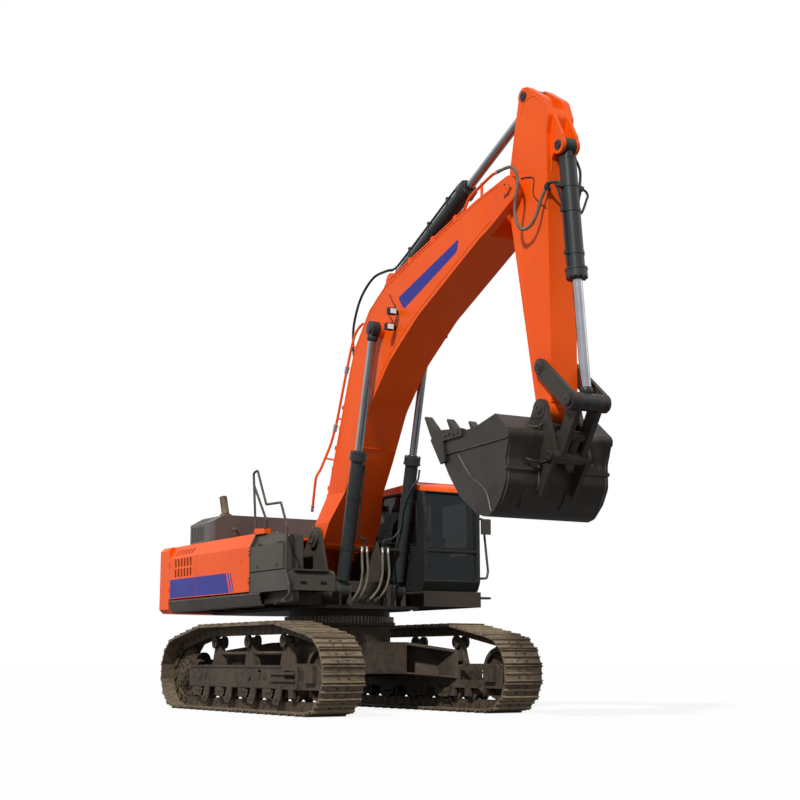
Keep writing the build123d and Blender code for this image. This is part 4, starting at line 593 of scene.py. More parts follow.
for door, side, rear, front, latch_x in (("right_rear_door", -1, -2.800, -1.754, -1.754 - 0.10),
                                         ("right_front_door", -1, -1.746, -0.68, -0.68 - 0.10 + 0.62),
                                         ("left_rear_door", 1, -2.800, -1.754, -1.754 - 0.10),
                                         ("left_front_door", 1, -1.746, -0.90, -0.90 - 0.10 + 0.15)):
    face = side * DOOR_FACE
    if "rear" in door:
        parts = [stripe(rear, front, rear, front, face, side)]
    else:
        parts = [stripe(rear, front + STRIPE_LEAN, rear, front, face, side)]
        for near, far in ((0.048, 0.094), (0.132, 0.166)):
            low = front + STRIPE_LEAN
            parts.append(stripe(low + near, low + far, front + near, front + far, face, side))
    put(door + "_stripe", door, parts, blue)
    plate_line = soften(rectangle(latch_x - 0.02, latch_x + 0.02, LATCH_LOW, LATCH_TOP), 0.010, 4)
    parts = [slab("y", plate_line, face, face + side * 0.004),
             turned(key_disc, (latch_x, face, (LATCH_LOW + LATCH_TOP) / 2), Y * side, 16)]
    put(door + "_latch", door, parts, orange, smooth=True)

# Louvre screens: behind the slots of the doors and of the hood stands a dark screen of folded strips.
screen_paint = finish("dark screen paint", (40, 33, 30), (26, 24, 23), 0.6, 30.0, bump=0.1)
door_blade = [(-0.022, 0.0), (-0.018, 0.010), (0.022, 0.012), (0.018, 0.002)]
hood_blade = [(-0.010, 0.0), (-0.006, 0.008), (0.010, 0.010), (0.006, 0.002)]
for door, side in (("right_rear_door", -1), ("left_rear_door", 1)):
    back = side * (DOOR_FACE - 0.030)
    parts = []
    for low in (1.975, 2.130):
        blades = row((-2.62, back, low + 0.012), (-2.62, back, low + 0.108), 5)
        parts.append(prisms(door_blade, 0.0, 0.66, blades, Y, Z, X))
    put(door + "_louvres", door, parts, screen_paint)
parts = []
for y in (-1.184, 1.184):
    parts.append(prisms(hood_blade, 0.0, 0.50, row((-2.69, y, 2.55), (-2.69, y, 2.73), 6), Y, Z, X))
put("hood_louvres", "hood", parts, screen_paint)

# Hood fittings: a turned latch near each front corner, the right one with a knob and a flat lever below it,
# and rows of screws along the folded edges.
HOOD_FRONT, HOOD_SIDE = -1.900, 1.200
LATCH_Y, LATCH_Z = 0.819, 2.700
latch_disc = [(0.0, 0.034), (0.012, 0.034), (0.020, 0.026), (0.020, 0.012), (0.045, 0.012), (0.045, 0.020),
              (0.055, 0.020), (0.055, 0.0)]
plain_disc = [(0.0, 0.034), (0.012, 0.034), (0.020, 0.026), (0.020, 0.0)]
parts = [turned(latch_disc, (HOOD_FRONT, -LATCH_Y, LATCH_Z), X, 20),
         turned(plain_disc, (HOOD_FRONT, LATCH_Y, LATCH_Z), X, 20),
         box((HOOD_FRONT, -0.835, 2.600), (-1.888, -0.803, 2.690))]
put("hood_latches", "hood", parts, worn_steel, smooth=True)
heads = np.concatenate([row((HOOD_FRONT, -1.05, z), (HOOD_FRONT, 1.05, z), 9) for z in (2.775, 2.50)])
parts = [bolts(heads, X, 0.009, 0.006)]
heads = np.concatenate([row((-2.66, y, 2.505), (-2.0, y, 2.505), 6) for y in (-HOOD_SIDE, HOOD_SIDE)])
parts.append(bolts(heads, np.sign(heads[:, 1:2]) * Y, 0.009, 0.006))
# The hood's screws share its lighter grey, painted light included.
put("hood_screws", "hood", parts, hood_grey_with_painted_light)

# Cover screws: the top covers are sheets screwed down in rows, and the skirts are bolted from outside.
COVER_TOP, SKIRT_FACE = 2.456, 1.5105
heads = np.concatenate([row((x, -1.30, COVER_TOP), (x, 1.30, COVER_TOP), 9) for x in (-2.80, -1.80, -1.00)])
parts = [bolts(heads, Z, 0.010, 0.006)]
for side, end in ((-1, 0.40), (1, -0.48)):
    heads = row((-2.70, side * SKIRT_FACE, 1.614), (end, side * SKIRT_FACE, 1.614), 12)
    parts.append(bolts(heads, (0.0, side * 1.0, 0.62), 0.010, 0.007))
put("cover_screws", "upperstructure", parts, worn_steel)

# Counterweight: a casting with two raised lines round its back, two bolt covers and two red reflectors.
TAIL = 3.600
LINE_SPREAD, LINE_POINTS = 0.36, 61
bolt_cover = [(-0.06, 0.055), (0.006, 0.055), (0.010, 0.048), (0.010, 0.0)]
angle = np.linspace(-LINE_SPREAD, LINE_SPREAD, LINE_POINTS)
line_x, line_y = -(TAIL + 0.001) * np.cos(angle), (TAIL + 0.001) * np.sin(angle)
parts = []
for z in (1.86, 2.16):
    parts.append(tube(np.stack([line_x, line_y, np.full(LINE_POINTS, z)], 1), 0.006, 8))
for y in (-0.70, 0.70):
    spot = -math.sqrt(TAIL ** 2 - y ** 2)
    parts.append(turned(bolt_cover, (spot, y, 2.01), (spot, y, 0.0), 24))
put("counterweight_lines", "upperstructure", parts, orange, smooth=True)
red_glass = finish("red lens", (150, 14, 16), (128, 10, 12), 0.18, 60.0, bump=0.02, coat=0.4)
lens_line = soften(rectangle(-0.07, 0.07, -0.03, 0.03), 0.015, 4)
parts = []
for y in (-1.10, 1.10):
    turn = math.asin(y / TAIL)
    out = np.array([-math.cos(turn), math.sin(turn), 0.0])
    across = np.array([math.sin(turn), math.cos(turn), 0.0])
    parts.append(prisms(lens_line, -0.004, 0.012, (-math.sqrt(TAIL ** 2 - y ** 2), y, 1.70), -across, Z, out))
put("rear_reflectors", "upperstructure", parts, red_glass, smooth=True)

# Right front corner: a filler cap on the tank, rubber studs and dark hand holes on the step box, orange faces
# on the rail's foot, and a stay cable and two latches on the storage box.
filler_cap = [(-0.002, 0.082), (0.012, 0.082), (0.020, 0.074), (0.020, 0.030), (0.040, 0.026), (0.040, 0.0)]
parts = [turned(filler_cap, (-0.10, -0.96, 2.485), Z)]
put("tank_cap", "upperstructure", parts, worn_steel, smooth=True)
pad_rubber = finish("step pad rubber", (88, 80, 72), (58, 53, 48), 0.6, 60.0, bump=0.3, dust=(120, 108, 92),
                    dust_share=0.3)
pad_hole = finish("shade in a hole", (16, 15, 15), (10, 10, 10), 0.8, 20.0)
STUD_STEP = 0.026
STEP_TOP = 1.900
HOLE_HALF, HOLE_CLEAR = 0.07, 0.085
stud_x, stud_y = np.arange(1.216, 1.34, STUD_STEP), np.arange(-1.38, -0.875, STUD_STEP)
studs = np.stack(np.meshgrid(stud_x, stud_y, [STEP_TOP], indexing="ij"), -1).reshape(-1, 3)
by_a_hole = (np.abs(studs[:, 1] + 1.27) < HOLE_CLEAR) | (np.abs(studs[:, 1] + 0.99) < HOLE_CLEAR)
keep = ~((np.abs(studs[:, 0] - 1.272) < 0.030) & by_a_hole)
parts = [prisms(ring(0.0085, 6), -0.001, 0.005, studs[keep], X, Y, Z)]
put("step_studs", "upperstructure", parts, pad_rubber)
top_hole = soften(rectangle(1.250, 1.294, -HOLE_HALF, HOLE_HALF), 0.021, 6)
parts = [slab("z", top_hole + (0.0, y), 1.899, 1.9012) for y in (-1.27, -0.99)]
for y in (-1.25, -0.95):
    parts.append(slab("x", soften(rectangle(y - 0.05, y + 0.05, 1.70, 1.745), 0.02, 6), 1.309, 1.3108))
put("step_holes", "upperstructure", parts, pad_hole)
bracket_line = [(0.084, 2.4612), (0.148, 2.4612), (0.148, 2.4415), (0.436, 2.4415), (0.404, 2.506),
                (0.106, 2.527)]
parts = [slab("y", bracket_line, -1.4205, -1.4185), slab("y", bracket_line, -1.3295, -1.3275),
         slab("x", rectangle(-1.4205, -1.3275, 2.4415, 2.506), 0.4305, 0.4365)]
put("rail_bracket_faces", "upperstructure", parts, orange)
black_plastic = finish("black plastic", (34, 34, 35), (26, 26, 27), 0.5, 70.0, bump=0.1)
rubber = finish("hose rubber", (38, 38, 38), (26, 26, 27), 0.55, 90.0, bump=0.2)


def pipe(points, step, radius, sides):
    """A round bar along the smooth line through the points."""
    return tube(smooth_line(points, step), radius, sides)


stay = [(1.184, -1.43, 2.330), (1.192, -1.40, 2.270), (1.190, -1.35, 2.16), (1.188, -1.28, 2.02),
        (1.186, -1.25, 1.925)]
parts = [pipe(stay, 0.02, 0.009, 8)]
for y, z in ((-1.43, 2.33), (-1.25, 1.93)):
    parts.append(box((1.178, y - 0.02, z - 0.012), (1.198, y + 0.02, z + 0.012)))
put("storage_stay", "upperstructure", parts, rubber, smooth=True)
LATCHES_X = (0.36, 0.97)
parts = [box((x - 0.035, -1.501, 1.955), (x + 0.035, -1.494, 2.005)) for x in LATCHES_X]
parts += [turned([(0.0, 0.014), (0.010, 0.014), (0.012, 0.0)], (x, -1.500, 1.980), -Y, 14) for x in LATCHES_X]
put("storage_latches", "storage_door", parts, worn_steel, smooth=True)

# Cab: a welded shell of formed tubes with flat bonded glass. Roof and hatch are orange, the rest dark grey,
# and rubber seals run round the panes.
cab_paint = finish("dark cab paint", (36, 38, 37), (29, 31, 30), 0.46, 55.0, patch=1.0, dust=(74, 71, 65),
                   dust_share=0.20, bump=0.06)
cab_orange = finish("cab roof orange", (238, 88, 16), (230, 80, 12), 0.42, 60.0, patch=0.9, bump=0.05)
dress(cab_orange, "cab_roof", "roof_hatch")
dress(cab_paint, "cab_floor", "cab_front_frame", "cab_right_side", "cab_left_side", "cab_rear_wall",
      "cab_door")
glass = bpy.data.materials.new("dark tinted glass")
glass.use_nodes = True
web = glass.node_tree
pane = web.nodes["Principled BSDF"]
pane.inputs["Roughness"].default_value = 0.03
pane.inputs["Alpha"].default_value = 0.66
pane.inputs["Specular IOR Level"].default_value = 0.30
place = web.nodes.new("ShaderNodeTexCoord")
haze = web.nodes.new("ShaderNodeTexNoise")
haze.inputs["Scale"].default_value = 2.2
web.links.new(place.outputs["Object"], haze.inputs["Vector"])
tint = web.nodes.new("ShaderNodeMix")
tint.data_type = "RGBA"
tint.inputs["A"].default_value = linear(12, 19, 23)
tint.inputs["B"].default_value = linear(28, 38, 42)
web.links.new(haze.outputs["Fac"], tint.inputs["Factor"])
web.links.new(tint.outputs["Result"], pane.inputs["Base Color"])
dress(glass, "cab_windows", "cab_door_glass")


def place_on(axis, outline, level):
    """A flat outline set at a level on an axis: its two numbers go to the other two axes."""
    right, up, out = PLANES[axis]
    outline = np.asarray(outline, float)
    return outline[:, :1] * right + outline[:, 1:] * up + abs(out) * level


SEAL = 0.013


def seal(axis, pane_line, round_by, level, steps=5):
    """A rubber bar round a pane's edge, with round corners."""
    return tube(place_on(axis, soften(pane_line, round_by, steps), level), SEAL, 8, True)


CAB_RIGHT, CAB_LEFT, CAB_FRONT, CAB_REAR = 0.552, 1.495, 1.450, -0.440
FRONT_GLASS = 1.416
right_pane = [(-0.330, 2.440), (1.250, 2.300), (1.250, 2.800), (1.190, 3.050), (-0.290, 3.050),
              (-0.330, 2.900)]
rear_left_pane = [(-0.330, 2.330), (0.240, 2.330), (0.240, 3.010), (-0.290, 3.010), (-0.330, 2.900)]
door_pane = [(0.420, 2.180), (0.420, 2.960), (1.130, 2.980), (1.180, 2.740), (1.180, 2.180)]
upper_pane = [(FRONT_GLASS, 0.615, 2.262), (FRONT_GLASS, 1.424, 2.262), (FRONT_GLASS, 1.424, 2.748),
              (1.342, 1.424, 3.040), (1.342, 0.615, 3.040), (FRONT_GLASS, 0.615, 2.748)]
parts = [seal("y", right_pane, 0.06, CAB_RIGHT + 0.004),
         seal("y", rear_left_pane, 0.05, CAB_LEFT - 0.012),
         seal("x", rectangle(0.607, 1.432, 1.800, 2.205), 0.07, FRONT_GLASS, 7),
         seal("x", rectangle(0.662, 1.377, 2.450, 2.950), 0.06, CAB_REAR + 0.004),
         tube(upper_pane, SEAL, 8, True)]
put("window_seals", "upperstructure", parts, rubber, smooth=True)
parts = [seal("y", door_pane, 0.06, CAB_LEFT + 0.001)]
put("door_window_seal", "cab_door", parts, rubber, smooth=True)

# Cab front: fillets close the lower corners of the glass, a bar divides the upper glass from the lower,
# and screws hold the frame at its sides and along the right side's foot.
GLASS_RIGHT, GLASS_LEFT, GLASS_LOW = 0.607, 1.432, 1.800
FILLET = 0.085
SCREW_RIGHT, SCREW_LEFT = 0.580, 1.460
SLOPE_RUN, SLOPE_RISE = 0.095, 0.37
parts = [box((1.418, 0.600, 2.212), (1.452, 1.440, 2.244))]
quarter = np.linspace(0.0, math.pi / 2, 8)
for y, inward in ((GLASS_RIGHT, 1), (GLASS_LEFT, -1)):
    arc_y = y + inward * FILLET * (1 - np.cos(quarter))
    arc_z = GLASS_LOW + FILLET * (1 - np.sin(quarter))
    corner = np.concatenate([[(y, GLASS_LOW)], np.stack([arc_y, arc_z], 1)[::-1]])
    parts.append(slab("x", corner, 1.412, 1.446))
put("front_frame_trim", "upperstructure", parts, cab_paint)
upright = [(CAB_FRONT, SCREW_RIGHT, z) for z in (1.78, 1.98, 2.18, 2.38, 2.58)]
upright += [(CAB_FRONT, SCREW_LEFT, z) for z in (1.98, 2.38, 2.58)]
leaning = [(CAB_FRONT - (z - 2.760) * SLOPE_RUN / SLOPE_RISE, y, z) for z in (2.85, 3.00)
           for y in (SCREW_RIGHT, SCREW_LEFT)]
parts = [bolts(upright, X, 0.013, 0.010),
         bolts(leaning, (SLOPE_RISE, 0.0, SLOPE_RUN), 0.013, 0.010),
         bolts(row((-0.38, CAB_RIGHT, 1.74), (1.30, CAB_RIGHT, 1.74), 8), -Y, 0.012, 0.009)]
put("cab_screws", "upperstructure", parts, cab_paint)

# Cab fittings: a pull handle let into the right side, the door's handle and grab bar, the mirror's glass
# and gutters over the side windows.
recess = soften(rectangle(1.015, 1.125, 2.080, 2.290), 0.05, 7)
put("side_handle_recess", "upperstructure", [slab("y", recess, 0.5512, 0.5525)], pad_hole)
pull_line = [(1.07, 0.553, 2.095), (1.07, 0.532, 2.120), (1.07, 0.528, 2.185), (1.07, 0.532, 2.250),
             (1.07, 0.553, 2.275)]
parts = [pipe(pull_line, 0.01, 0.009, 8),
         tube(place_on("y", soften(recess[::7], 0.03, 6), 0.5515), 0.006, 8, True)]
put("side_handle", "upperstructure", parts, cab_paint, smooth=True)
handle_line = [(1.11, 1.500, 2.085), (1.12, 1.526, 2.085), (1.155, 1.530, 2.085), (1.19, 1.526, 2.085),
               (1.20, 1.500, 2.085)]
grab_line = [(1.235, 1.497, 1.780), (1.235, 1.532, 1.800), (1.235, 1.534, 2.000), (1.235, 1.532, 2.420),
             (1.235, 1.497, 2.440)]
handle_plate = soften(rectangle(1.095, 1.215, 2.050, 2.120), 0.025, 6)
parts = [slab("y", handle_plate, CAB_LEFT - 0.001, CAB_LEFT + 0.004),
         pipe(handle_line, 0.008, 0.009, 8),
         pipe(grab_line, 0.02, 0.011, 8)]
put("door_handle", "cab_door", parts, black_plastic, smooth=True)
mirror_glass = bpy.data.materials.new("mirror glass")
mirror_glass.use_nodes = True
web = mirror_glass.node_tree
web.nodes["Principled BSDF"].inputs["Metallic"].default_value = 1.0
place = web.nodes.new("ShaderNodeTexCoord")
smear = web.nodes.new("ShaderNodeTexNoise")
smear.inputs["Scale"].default_value = 14.0
web.links.new(place.outputs["Object"], smear.inputs["Vector"])
shine = web.nodes.new("ShaderNodeMapRange")
shine.inputs["To Min"].default_value = 0.02
shine.inputs["To Max"].default_value = 0.10
web.links.new(smear.outputs["Fac"], shine.inputs["Value"])
web.links.new(shine.outputs[0], web.nodes["Principled BSDF"].inputs["Roughness"])
parts = [slab("x", soften(rectangle(1.542, 1.668, 2.494, 2.686), 0.02), 1.4085, 1.4105)]
put("mirror_face", "upperstructure", parts, mirror_glass)
right_gutter = [(-0.30, 0.545, 3.066), (1.16, 0.545, 3.068), (1.30, 0.545, 3.058), (1.36, 0.545, 2.90)]
left_gutter = [(-0.30, 1.497, 3.066), (1.16, 1.497, 3.068), (1.24, 1.496, 3.062)]
parts = [pipe(line, 0.04, 0.009, 8) for line in (right_gutter, left_gutter)]
put("roof_gutter", "upperstructure", parts, cab_paint, smooth=True)


# Seat: foam cushion and back in a woven cover, on a bellows pedestal, between two consoles that carry the
# levers. Two pedals stand on the floor before it, and a monitor stands at the right front pillar.
def cushion(centre, half):
    """A padded block: a sphere's points pushed out to the length at which the powers of their shares of the
    three half sizes add up to one. Its middle is raised a little, and sewn channels are pressed in."""
    power, crown, channels = 4.0, 0.012, 3
    sides, levels = 64, 33
    turns, rises = np.linspace(0, 2 * np.pi, sides + 1)[:-1], np.linspace(-np.pi / 2, np.pi / 2, levels)
    u, v = np.meshgrid(turns, rises, indexing="ij")
    ball = np.stack([np.cos(v) * np.cos(u), np.cos(v) * np.sin(u), np.sin(v)], -1)
    shape = ball * (np.abs(ball) ** power).sum(-1, keepdims=True) ** (-1 / power)
    seam = ((shape[..., 1] + 1) * channels / 2) % 1 - 0.5
    pressed = 1 - 0.05 * np.exp(-(seam / 0.10) ** 2)
    points = shape * np.asarray(half) + np.asarray(centre)
    bulge = crown * (1 - shape[..., 0] ** 2) * (1 - shape[..., 1] ** 2) * np.sign(shape[..., 2])
    points[..., 2] += bulge * pressed - (1 - pressed) * half[2] * np.abs(shape[..., 2])
    i, j = np.meshgrid(np.arange(sides), np.arange(1, levels - 2), indexing="ij")
    here, wrap = i * levels + j, (i + 1) % sides * levels + j
    faces = np.stack([here, wrap, wrap + 1, here + 1], -1).reshape(-1, 4).tolist()
    rim = np.arange(sides)
    here, wrap = rim * levels, (rim + 1) % sides * levels
    faces += np.stack([here + 1, np.zeros(sides, int), wrap + 1], -1).tolist()
    faces += np.stack([here + levels - 2, wrap + levels - 2, np.full(sides, levels - 1)], -1).tolist()
    return points.reshape(-1, 3), faces


SEAT_Y = 1.005
BACK_LEAN = math.radians(84)
weave = finish("woven seat cover", (44, 45, 50), (30, 31, 35), 0.85, 420.0, patch=9.0, bump=0.6)
back_points, back_faces = cushion((0.0, SEAT_Y, 0.0), (0.28, 0.215, 0.045))
lean = np.array([[math.cos(BACK_LEAN), 0.0, -math.sin(BACK_LEAN)], [0.0, 1.0, 0.0],
                 [math.sin(BACK_LEAN), 0.0, math.cos(BACK_LEAN)]])
back_points = back_points @ lean.T + (0.175, 0.0, 2.485)
for name, part in (("seat_cushion", cushion((0.455, SEAT_Y, 2.190), (0.215, 0.225, 0.048))),
                   ("seat_back", (back_points, back_faces))):
    pad = put(name, "upperstructure", [part], weave, smooth=True)
folds = np.arange(25)
bellows = np.stack([0.035 + folds * 0.0135, 0.125 + 0.012 * (folds % 2)], 1)
parts = [box((0.30, 0.86, 1.7223), (0.56, 1.15, 1.760)), box((0.26, 0.83, 2.085), (0.64, 1.18, 2.130)),
         box((0.19, 0.80, 2.120), (0.26, 1.21, 2.165)), turned(bellows, (0.43, SEAT_Y, 1.722), Z, 32)]
parts += [box((0.17, y - 0.030, 2.300), (0.47, y + 0.030, 2.340)) for y in (0.795, 1.215)]
stand = put("seat_stand", "upperstructure", parts, black_plastic, smooth=True)
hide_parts("operator_seat")
dress(black_plastic, "control_consoles")
lever_boot = [(0.0, 0.050), (0.012, 0.050), (0.024, 0.042), (0.036, 0.045), (0.048, 0.036), (0.060, 0.039),
              (0.074, 0.028)]
lever_grip = [(0.0, 0.024), (0.03, 0.030), (0.07, 0.027), (0.10, 0.031), (0.118, 0.022), (0.122, 0.0)]
parts = []
for y in (0.685, 1.325):
    parts.append(turned(lever_boot, (0.720, y, 2.259), Z, 24))
    parts.append(turned(lever_grip, (0.720, y, 2.345), (0.08, 0.0, 1.0), 20))
parts.append(slab("x", soften(rectangle(0.632, 0.792, 2.325, 2.445), 0.015), 1.270, 1.300))
parts.append(tube([(1.288, 0.700, 2.200), (1.288, 0.700, 2.330)], 0.012, 8))
for y in (0.93, 1.08):
    parts.append(box((1.080, y - 0.045, 1.7225), (1.230, y + 0.045, 1.745)))
    parts.append(tube([(1.150, y, 1.740), (1.100, y, 2.000), (1.060, y, 2.060)], 0.010, 8))
put("cab_controls", "upperstructure", parts, black_plastic, smooth=True)

# Boom: a welded box of thick plate. A plain blue panel lies on each web, beads of weld close the seams,
# and turned caps cover the pins.
dress(orange, "boom", "boom_pipes", "arm", "bucket_cylinder_ears")
steel_pin = finish("pin steel", (120, 116, 112), (84, 80, 76), 0.38, 50.0, metal=0.8)
dress(steel_pin, "boom_pins", "arm_pins", "frame_pins", "bucket_pin")
WEB = 0.310
SEAM_Y = WEB + 0.0005
plain_panel = soften([(2.19, 5.56), (2.34, 5.37), (3.66, 5.85), (3.70, 6.01)], 0.05, 7)
parts = [slab("y", plain_panel, side * WEB, side * (WEB + FILM)) for side in (-1, 1)]
put("boom_name_panels", "boom", parts, blue)
upper_edge = [(0.30, 3.27), (0.86, 4.745), (0.99, 5.02), (1.375, 5.468), (1.96, 5.815), (4.10, 6.370),
              (4.60, 6.450)]
lower_edge = [(0.70, 3.09), (1.04, 3.62), (1.40, 4.215), (1.93, 4.775), (2.68, 5.255), (4.16, 5.945),
              (4.44, 6.05)]
parts = []
for side in (-1, 1):
    for edge in (upper_edge, lower_edge):
        parts.append(weld(place_on("y", edge, side * SEAM_Y), 0.005))
    parts.append(weld([(-0.055, side * 0.4205, 2.60), (0.30, side * 0.4205, 2.42)], 0.006))
    parts.append(weld([(4.254, side * SEAM_Y, 6.395), (4.254, side * SEAM_Y, 5.985)], 0.006))
parts.append(weld([(1.094, -0.300, 3.643), (1.094, 0.300, 3.643)], 0.006))
put("boom_welds", "boom", parts, orange, smooth=True)


def pin_cap(centre, out, radius):
    """A pin's end as it shows: a turned cap with a raised rim and a hollow."""
    return turned([(-0.002, radius), (0.006, radius), (0.009, radius * 0.92), (0.009, radius * 0.45),
                   (0.002, radius * 0.40), (0.002, 0.0)], centre, out)


END_PIN_RADIUS = 0.060
parts, heads = [], []
for side in (-1, 1):
    out = Y * side
    end_pin = np.array([4.790, side * 0.324, 6.350])
    parts += [pin_cap(end_pin, out, END_PIN_RADIUS), pin_cap((1.640, side * 0.129, 5.950), out, 0.056)]
    heads.append(bolts(around(end_pin - out * 0.006, out, END_PIN_RADIUS + 0.030, 3, 0.5), out, 0.011, 0.010))
put("boom_pin_caps", "boom", parts, orange, smooth=True)
put("boom_pin_bolts", "boom", heads, worn_steel)

# Work lamps: a black shade with a clear lens in a black rim, and a lead that runs to the boom's web.
dress(black_plastic, "work_lamps")
lens_glass = finish("lamp lens", (236, 238, 240), (214, 218, 222), 0.14, 120.0, bump=0.05, coat=0.5)
parts, rims, leads = [], [], []
for x, z, side in ((2.230, 5.350, -1), (2.160, 5.150, -1), (2.150, 5.140, 1)):
    rim = soften(rectangle(side * 0.380, side * 0.485, z - 0.040, z + 0.040), 0.014)
    parts.append(slab("x", rim, x + 0.0295, x + 0.0345))
    rims.append(tube(place_on("x", rim, x + 0.032), 0.006, 8, True))
    lead_line = [(x - 0.02, side * 0.400, z + 0.046), (x - 0.06, side * 0.345, z + 0.10),
                 (x - 0.16, side * 0.317, z + 0.16), (x - 0.26, side * 0.317, z + 0.30)]
    leads.append(pipe(lead_line, 0.015, 0.006, 6))
put("lamp_lenses", "boom", parts, lens_glass, smooth=True)
put("lamp_rims", "boom", rims + leads, black_plastic, smooth=True)

# Boom pipes: steel pipes clamped along the back, with bright unions, and rubber hoses in spiral guards that
# come up to them from a flat manifold on the deck.
fitting_steel = finish("plated fitting", (186, 180, 170), (150, 142, 130), 0.34, 60.0, metal=0.85, bump=0.1)
guard_sleeve = finish("hose guard", (116, 106, 96), (84, 76, 68), 0.6, 120.0, patch=6.0, dust=(150, 138, 122),
                      dust_share=0.3, bump=0.3)


def hose(points, radius):
    """A hose in a spiral guard: a round bar along a smooth line, its radius rising once in each pitch."""
    pitch = 0.022
    line = smooth_line(points, pitch / 4)
    return tube(line, radius * (1 + 0.07 * np.sin(np.arange(len(line)) * math.pi / 2)), 12)


def coupling(centre, ahead, radius=0.026):
    """A hose end: a hexagon nut and a pressed ferrule, turned about the pipe's line."""
    nut = [(-0.030, radius * 0.6), (-0.030, radius), (0.0, radius), (0.0, radius * 0.6)]
    ferrule = [(0.0, radius * 0.62), (0.008, radius * 0.84), (0.050, radius * 0.84), (0.055, radius * 0.78)]
    return [turned(nut, centre, ahead, 6), turned(ferrule, centre, ahead, 18)]


BACK_START = np.array([-0.040, 2.460])
BACK_RUN = np.array([0.3555, 0.9347])
BACK_OUT = np.array([-0.9347, 0.3555])
PIPE_RISE = 0.062
pipe_nut = [(-0.028, 0.024), (-0.028, 0.029), (0.028, 0.029), (0.028, 0.024)]
along_pipe = np.array([BACK_RUN[0], 0.0, BACK_RUN[1]])
parts, pipe_ends = [], []
for y in (-0.255, -0.195, 0.195, 0.255):
    for far in (0.60, 1.02, 1.62):
        x, z = BACK_START + BACK_RUN * far + BACK_OUT * PIPE_RISE
        parts.append(turned(pipe_nut, (x, y, z), along_pipe, 6))
    x, z = BACK_START + BACK_RUN * 0.560 + BACK_OUT * PIPE_RISE
    parts += coupling((x, y, z), -along_pipe)
    pipe_ends.append((x, y, z))
put("pipe_unions", "boom", parts, fitting_steel, smooth=True)
for index, (x, y, z) in enumerate(pipe_ends):
    line = [(-0.37, y, 1.50), (-0.37, y, 1.70), (-0.33, y, 2.00), (-0.22, y, 2.35), (-0.08, y, 2.66),
            (x - 0.045, y, z - 0.12), (x - 0.008, y, z - 0.03)]
    feed = put("boom_feed_hose_%d" % (index + 1), None, [hose(line, 0.020)], guard_sleeve,
               smooth=True)
    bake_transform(feed)
parts = [box((-0.45, -0.31, 1.456), (-0.29, 0.31, 1.500))]
put("feed_manifold", "upperstructure", parts, deck_paint)

# Boom cylinders: a barrel of steel tube with a bolted gland and a chromed rod, both eyes painted dark. A pipe
# comes down beside each barrel to a flat bar, and four guarded hoses hang from there to a block on the deck.
cylinder_paint = finish("cylinder paint", (50, 53, 54), (38, 41, 42), 0.34, 40.0, dust=(92, 86, 76),
                        dust_share=0.12)
chrome = finish("chromed rod", (158, 160, 164), (136, 138, 144), 0.16, 80.0, metal=1.0, bump=0.02)
dress(cylinder_paint, "boom_cylinder_barrels", "arm_cylinder_barrel", "bucket_cylinder_barrel")
dress(chrome, "boom_cylinder_rods", "arm_cylinder_rod", "bucket_cylinder_rod")


def axes_of(foot, head, y=0.0):
    """A cylinder's own axes: its foot's place, the direction along it and the upright one square to that."""
    start = np.array([foot[0], y, foot[1]])
    run = np.array([head[0], y, head[1]]) - start
    run /= np.linalg.norm(run)
    return start, run, np.array([-run[2], 0.0, run[0]])


def beside(axes, along, off=0.0, across=0.0):
    """A place by a cylinder: so far along its line, so far square to it and so far across."""
    start, run, square = axes
    return start + run * along + square * off + Y * across


def eye_cover(axes, half):
    """Paint over a rod's eye: a shell a millimetre proud of it, and the neck that carries it on the rod."""
    radius = 0.1062
    shell = [(-half - 0.001, 0.052), (-half - 0.001, radius), (half + 0.001, radius), (half + 0.001, 0.052)]
    neck = [(0.085, 0.062), (0.105, 0.076), (0.150, 0.076), (0.172, 0.064)]
    return [turned(shell, axes[0], Y, 36, False), turned(neck, axes[0], axes[1], 28, False)]


def gland(axes, length, radius, count):
    """A cylinder's mouth and foot: a rib at each, a wiper ring, and bolts round the mouth."""
    mouth, run = beside(axes, length), axes[1]
    rib = [(-0.124, radius + 0.020), (-0.120, radius + 0.030), (-0.092, radius + 0.030),
           (-0.088, radius + 0.022)]
    wiper = [(-0.001, radius * 0.80), (0.016, radius * 0.78), (0.020, radius * 0.70), (0.020, radius * 0.64)]
    foot_rib = [(0.150 - length, radius * 0.98), (0.154 - length, radius + 0.006),
                (0.178 - length, radius + 0.006), (0.182 - length, radius * 0.98)]
    ribs = [turned(rib, mouth, run, 36, False), turned(wiper, mouth, run, 32, False),
            turned(foot_rib, mouth, run, 32, False)]
    return ribs, bolts(around(mouth, run, radius + 0.007, count), run, 0.011, 0.013)


def band(axes, length, radius, width=0.045):
    """A clamp band round a barrel at one place on its line."""
    half, inner, outer = width / 2, radius - 0.002, radius + 0.008
    profile = [(-half, inner), (-half, outer), (half, outer), (half, inner)]
    return turned(profile, beside(axes, length), axes[1], 36, False)


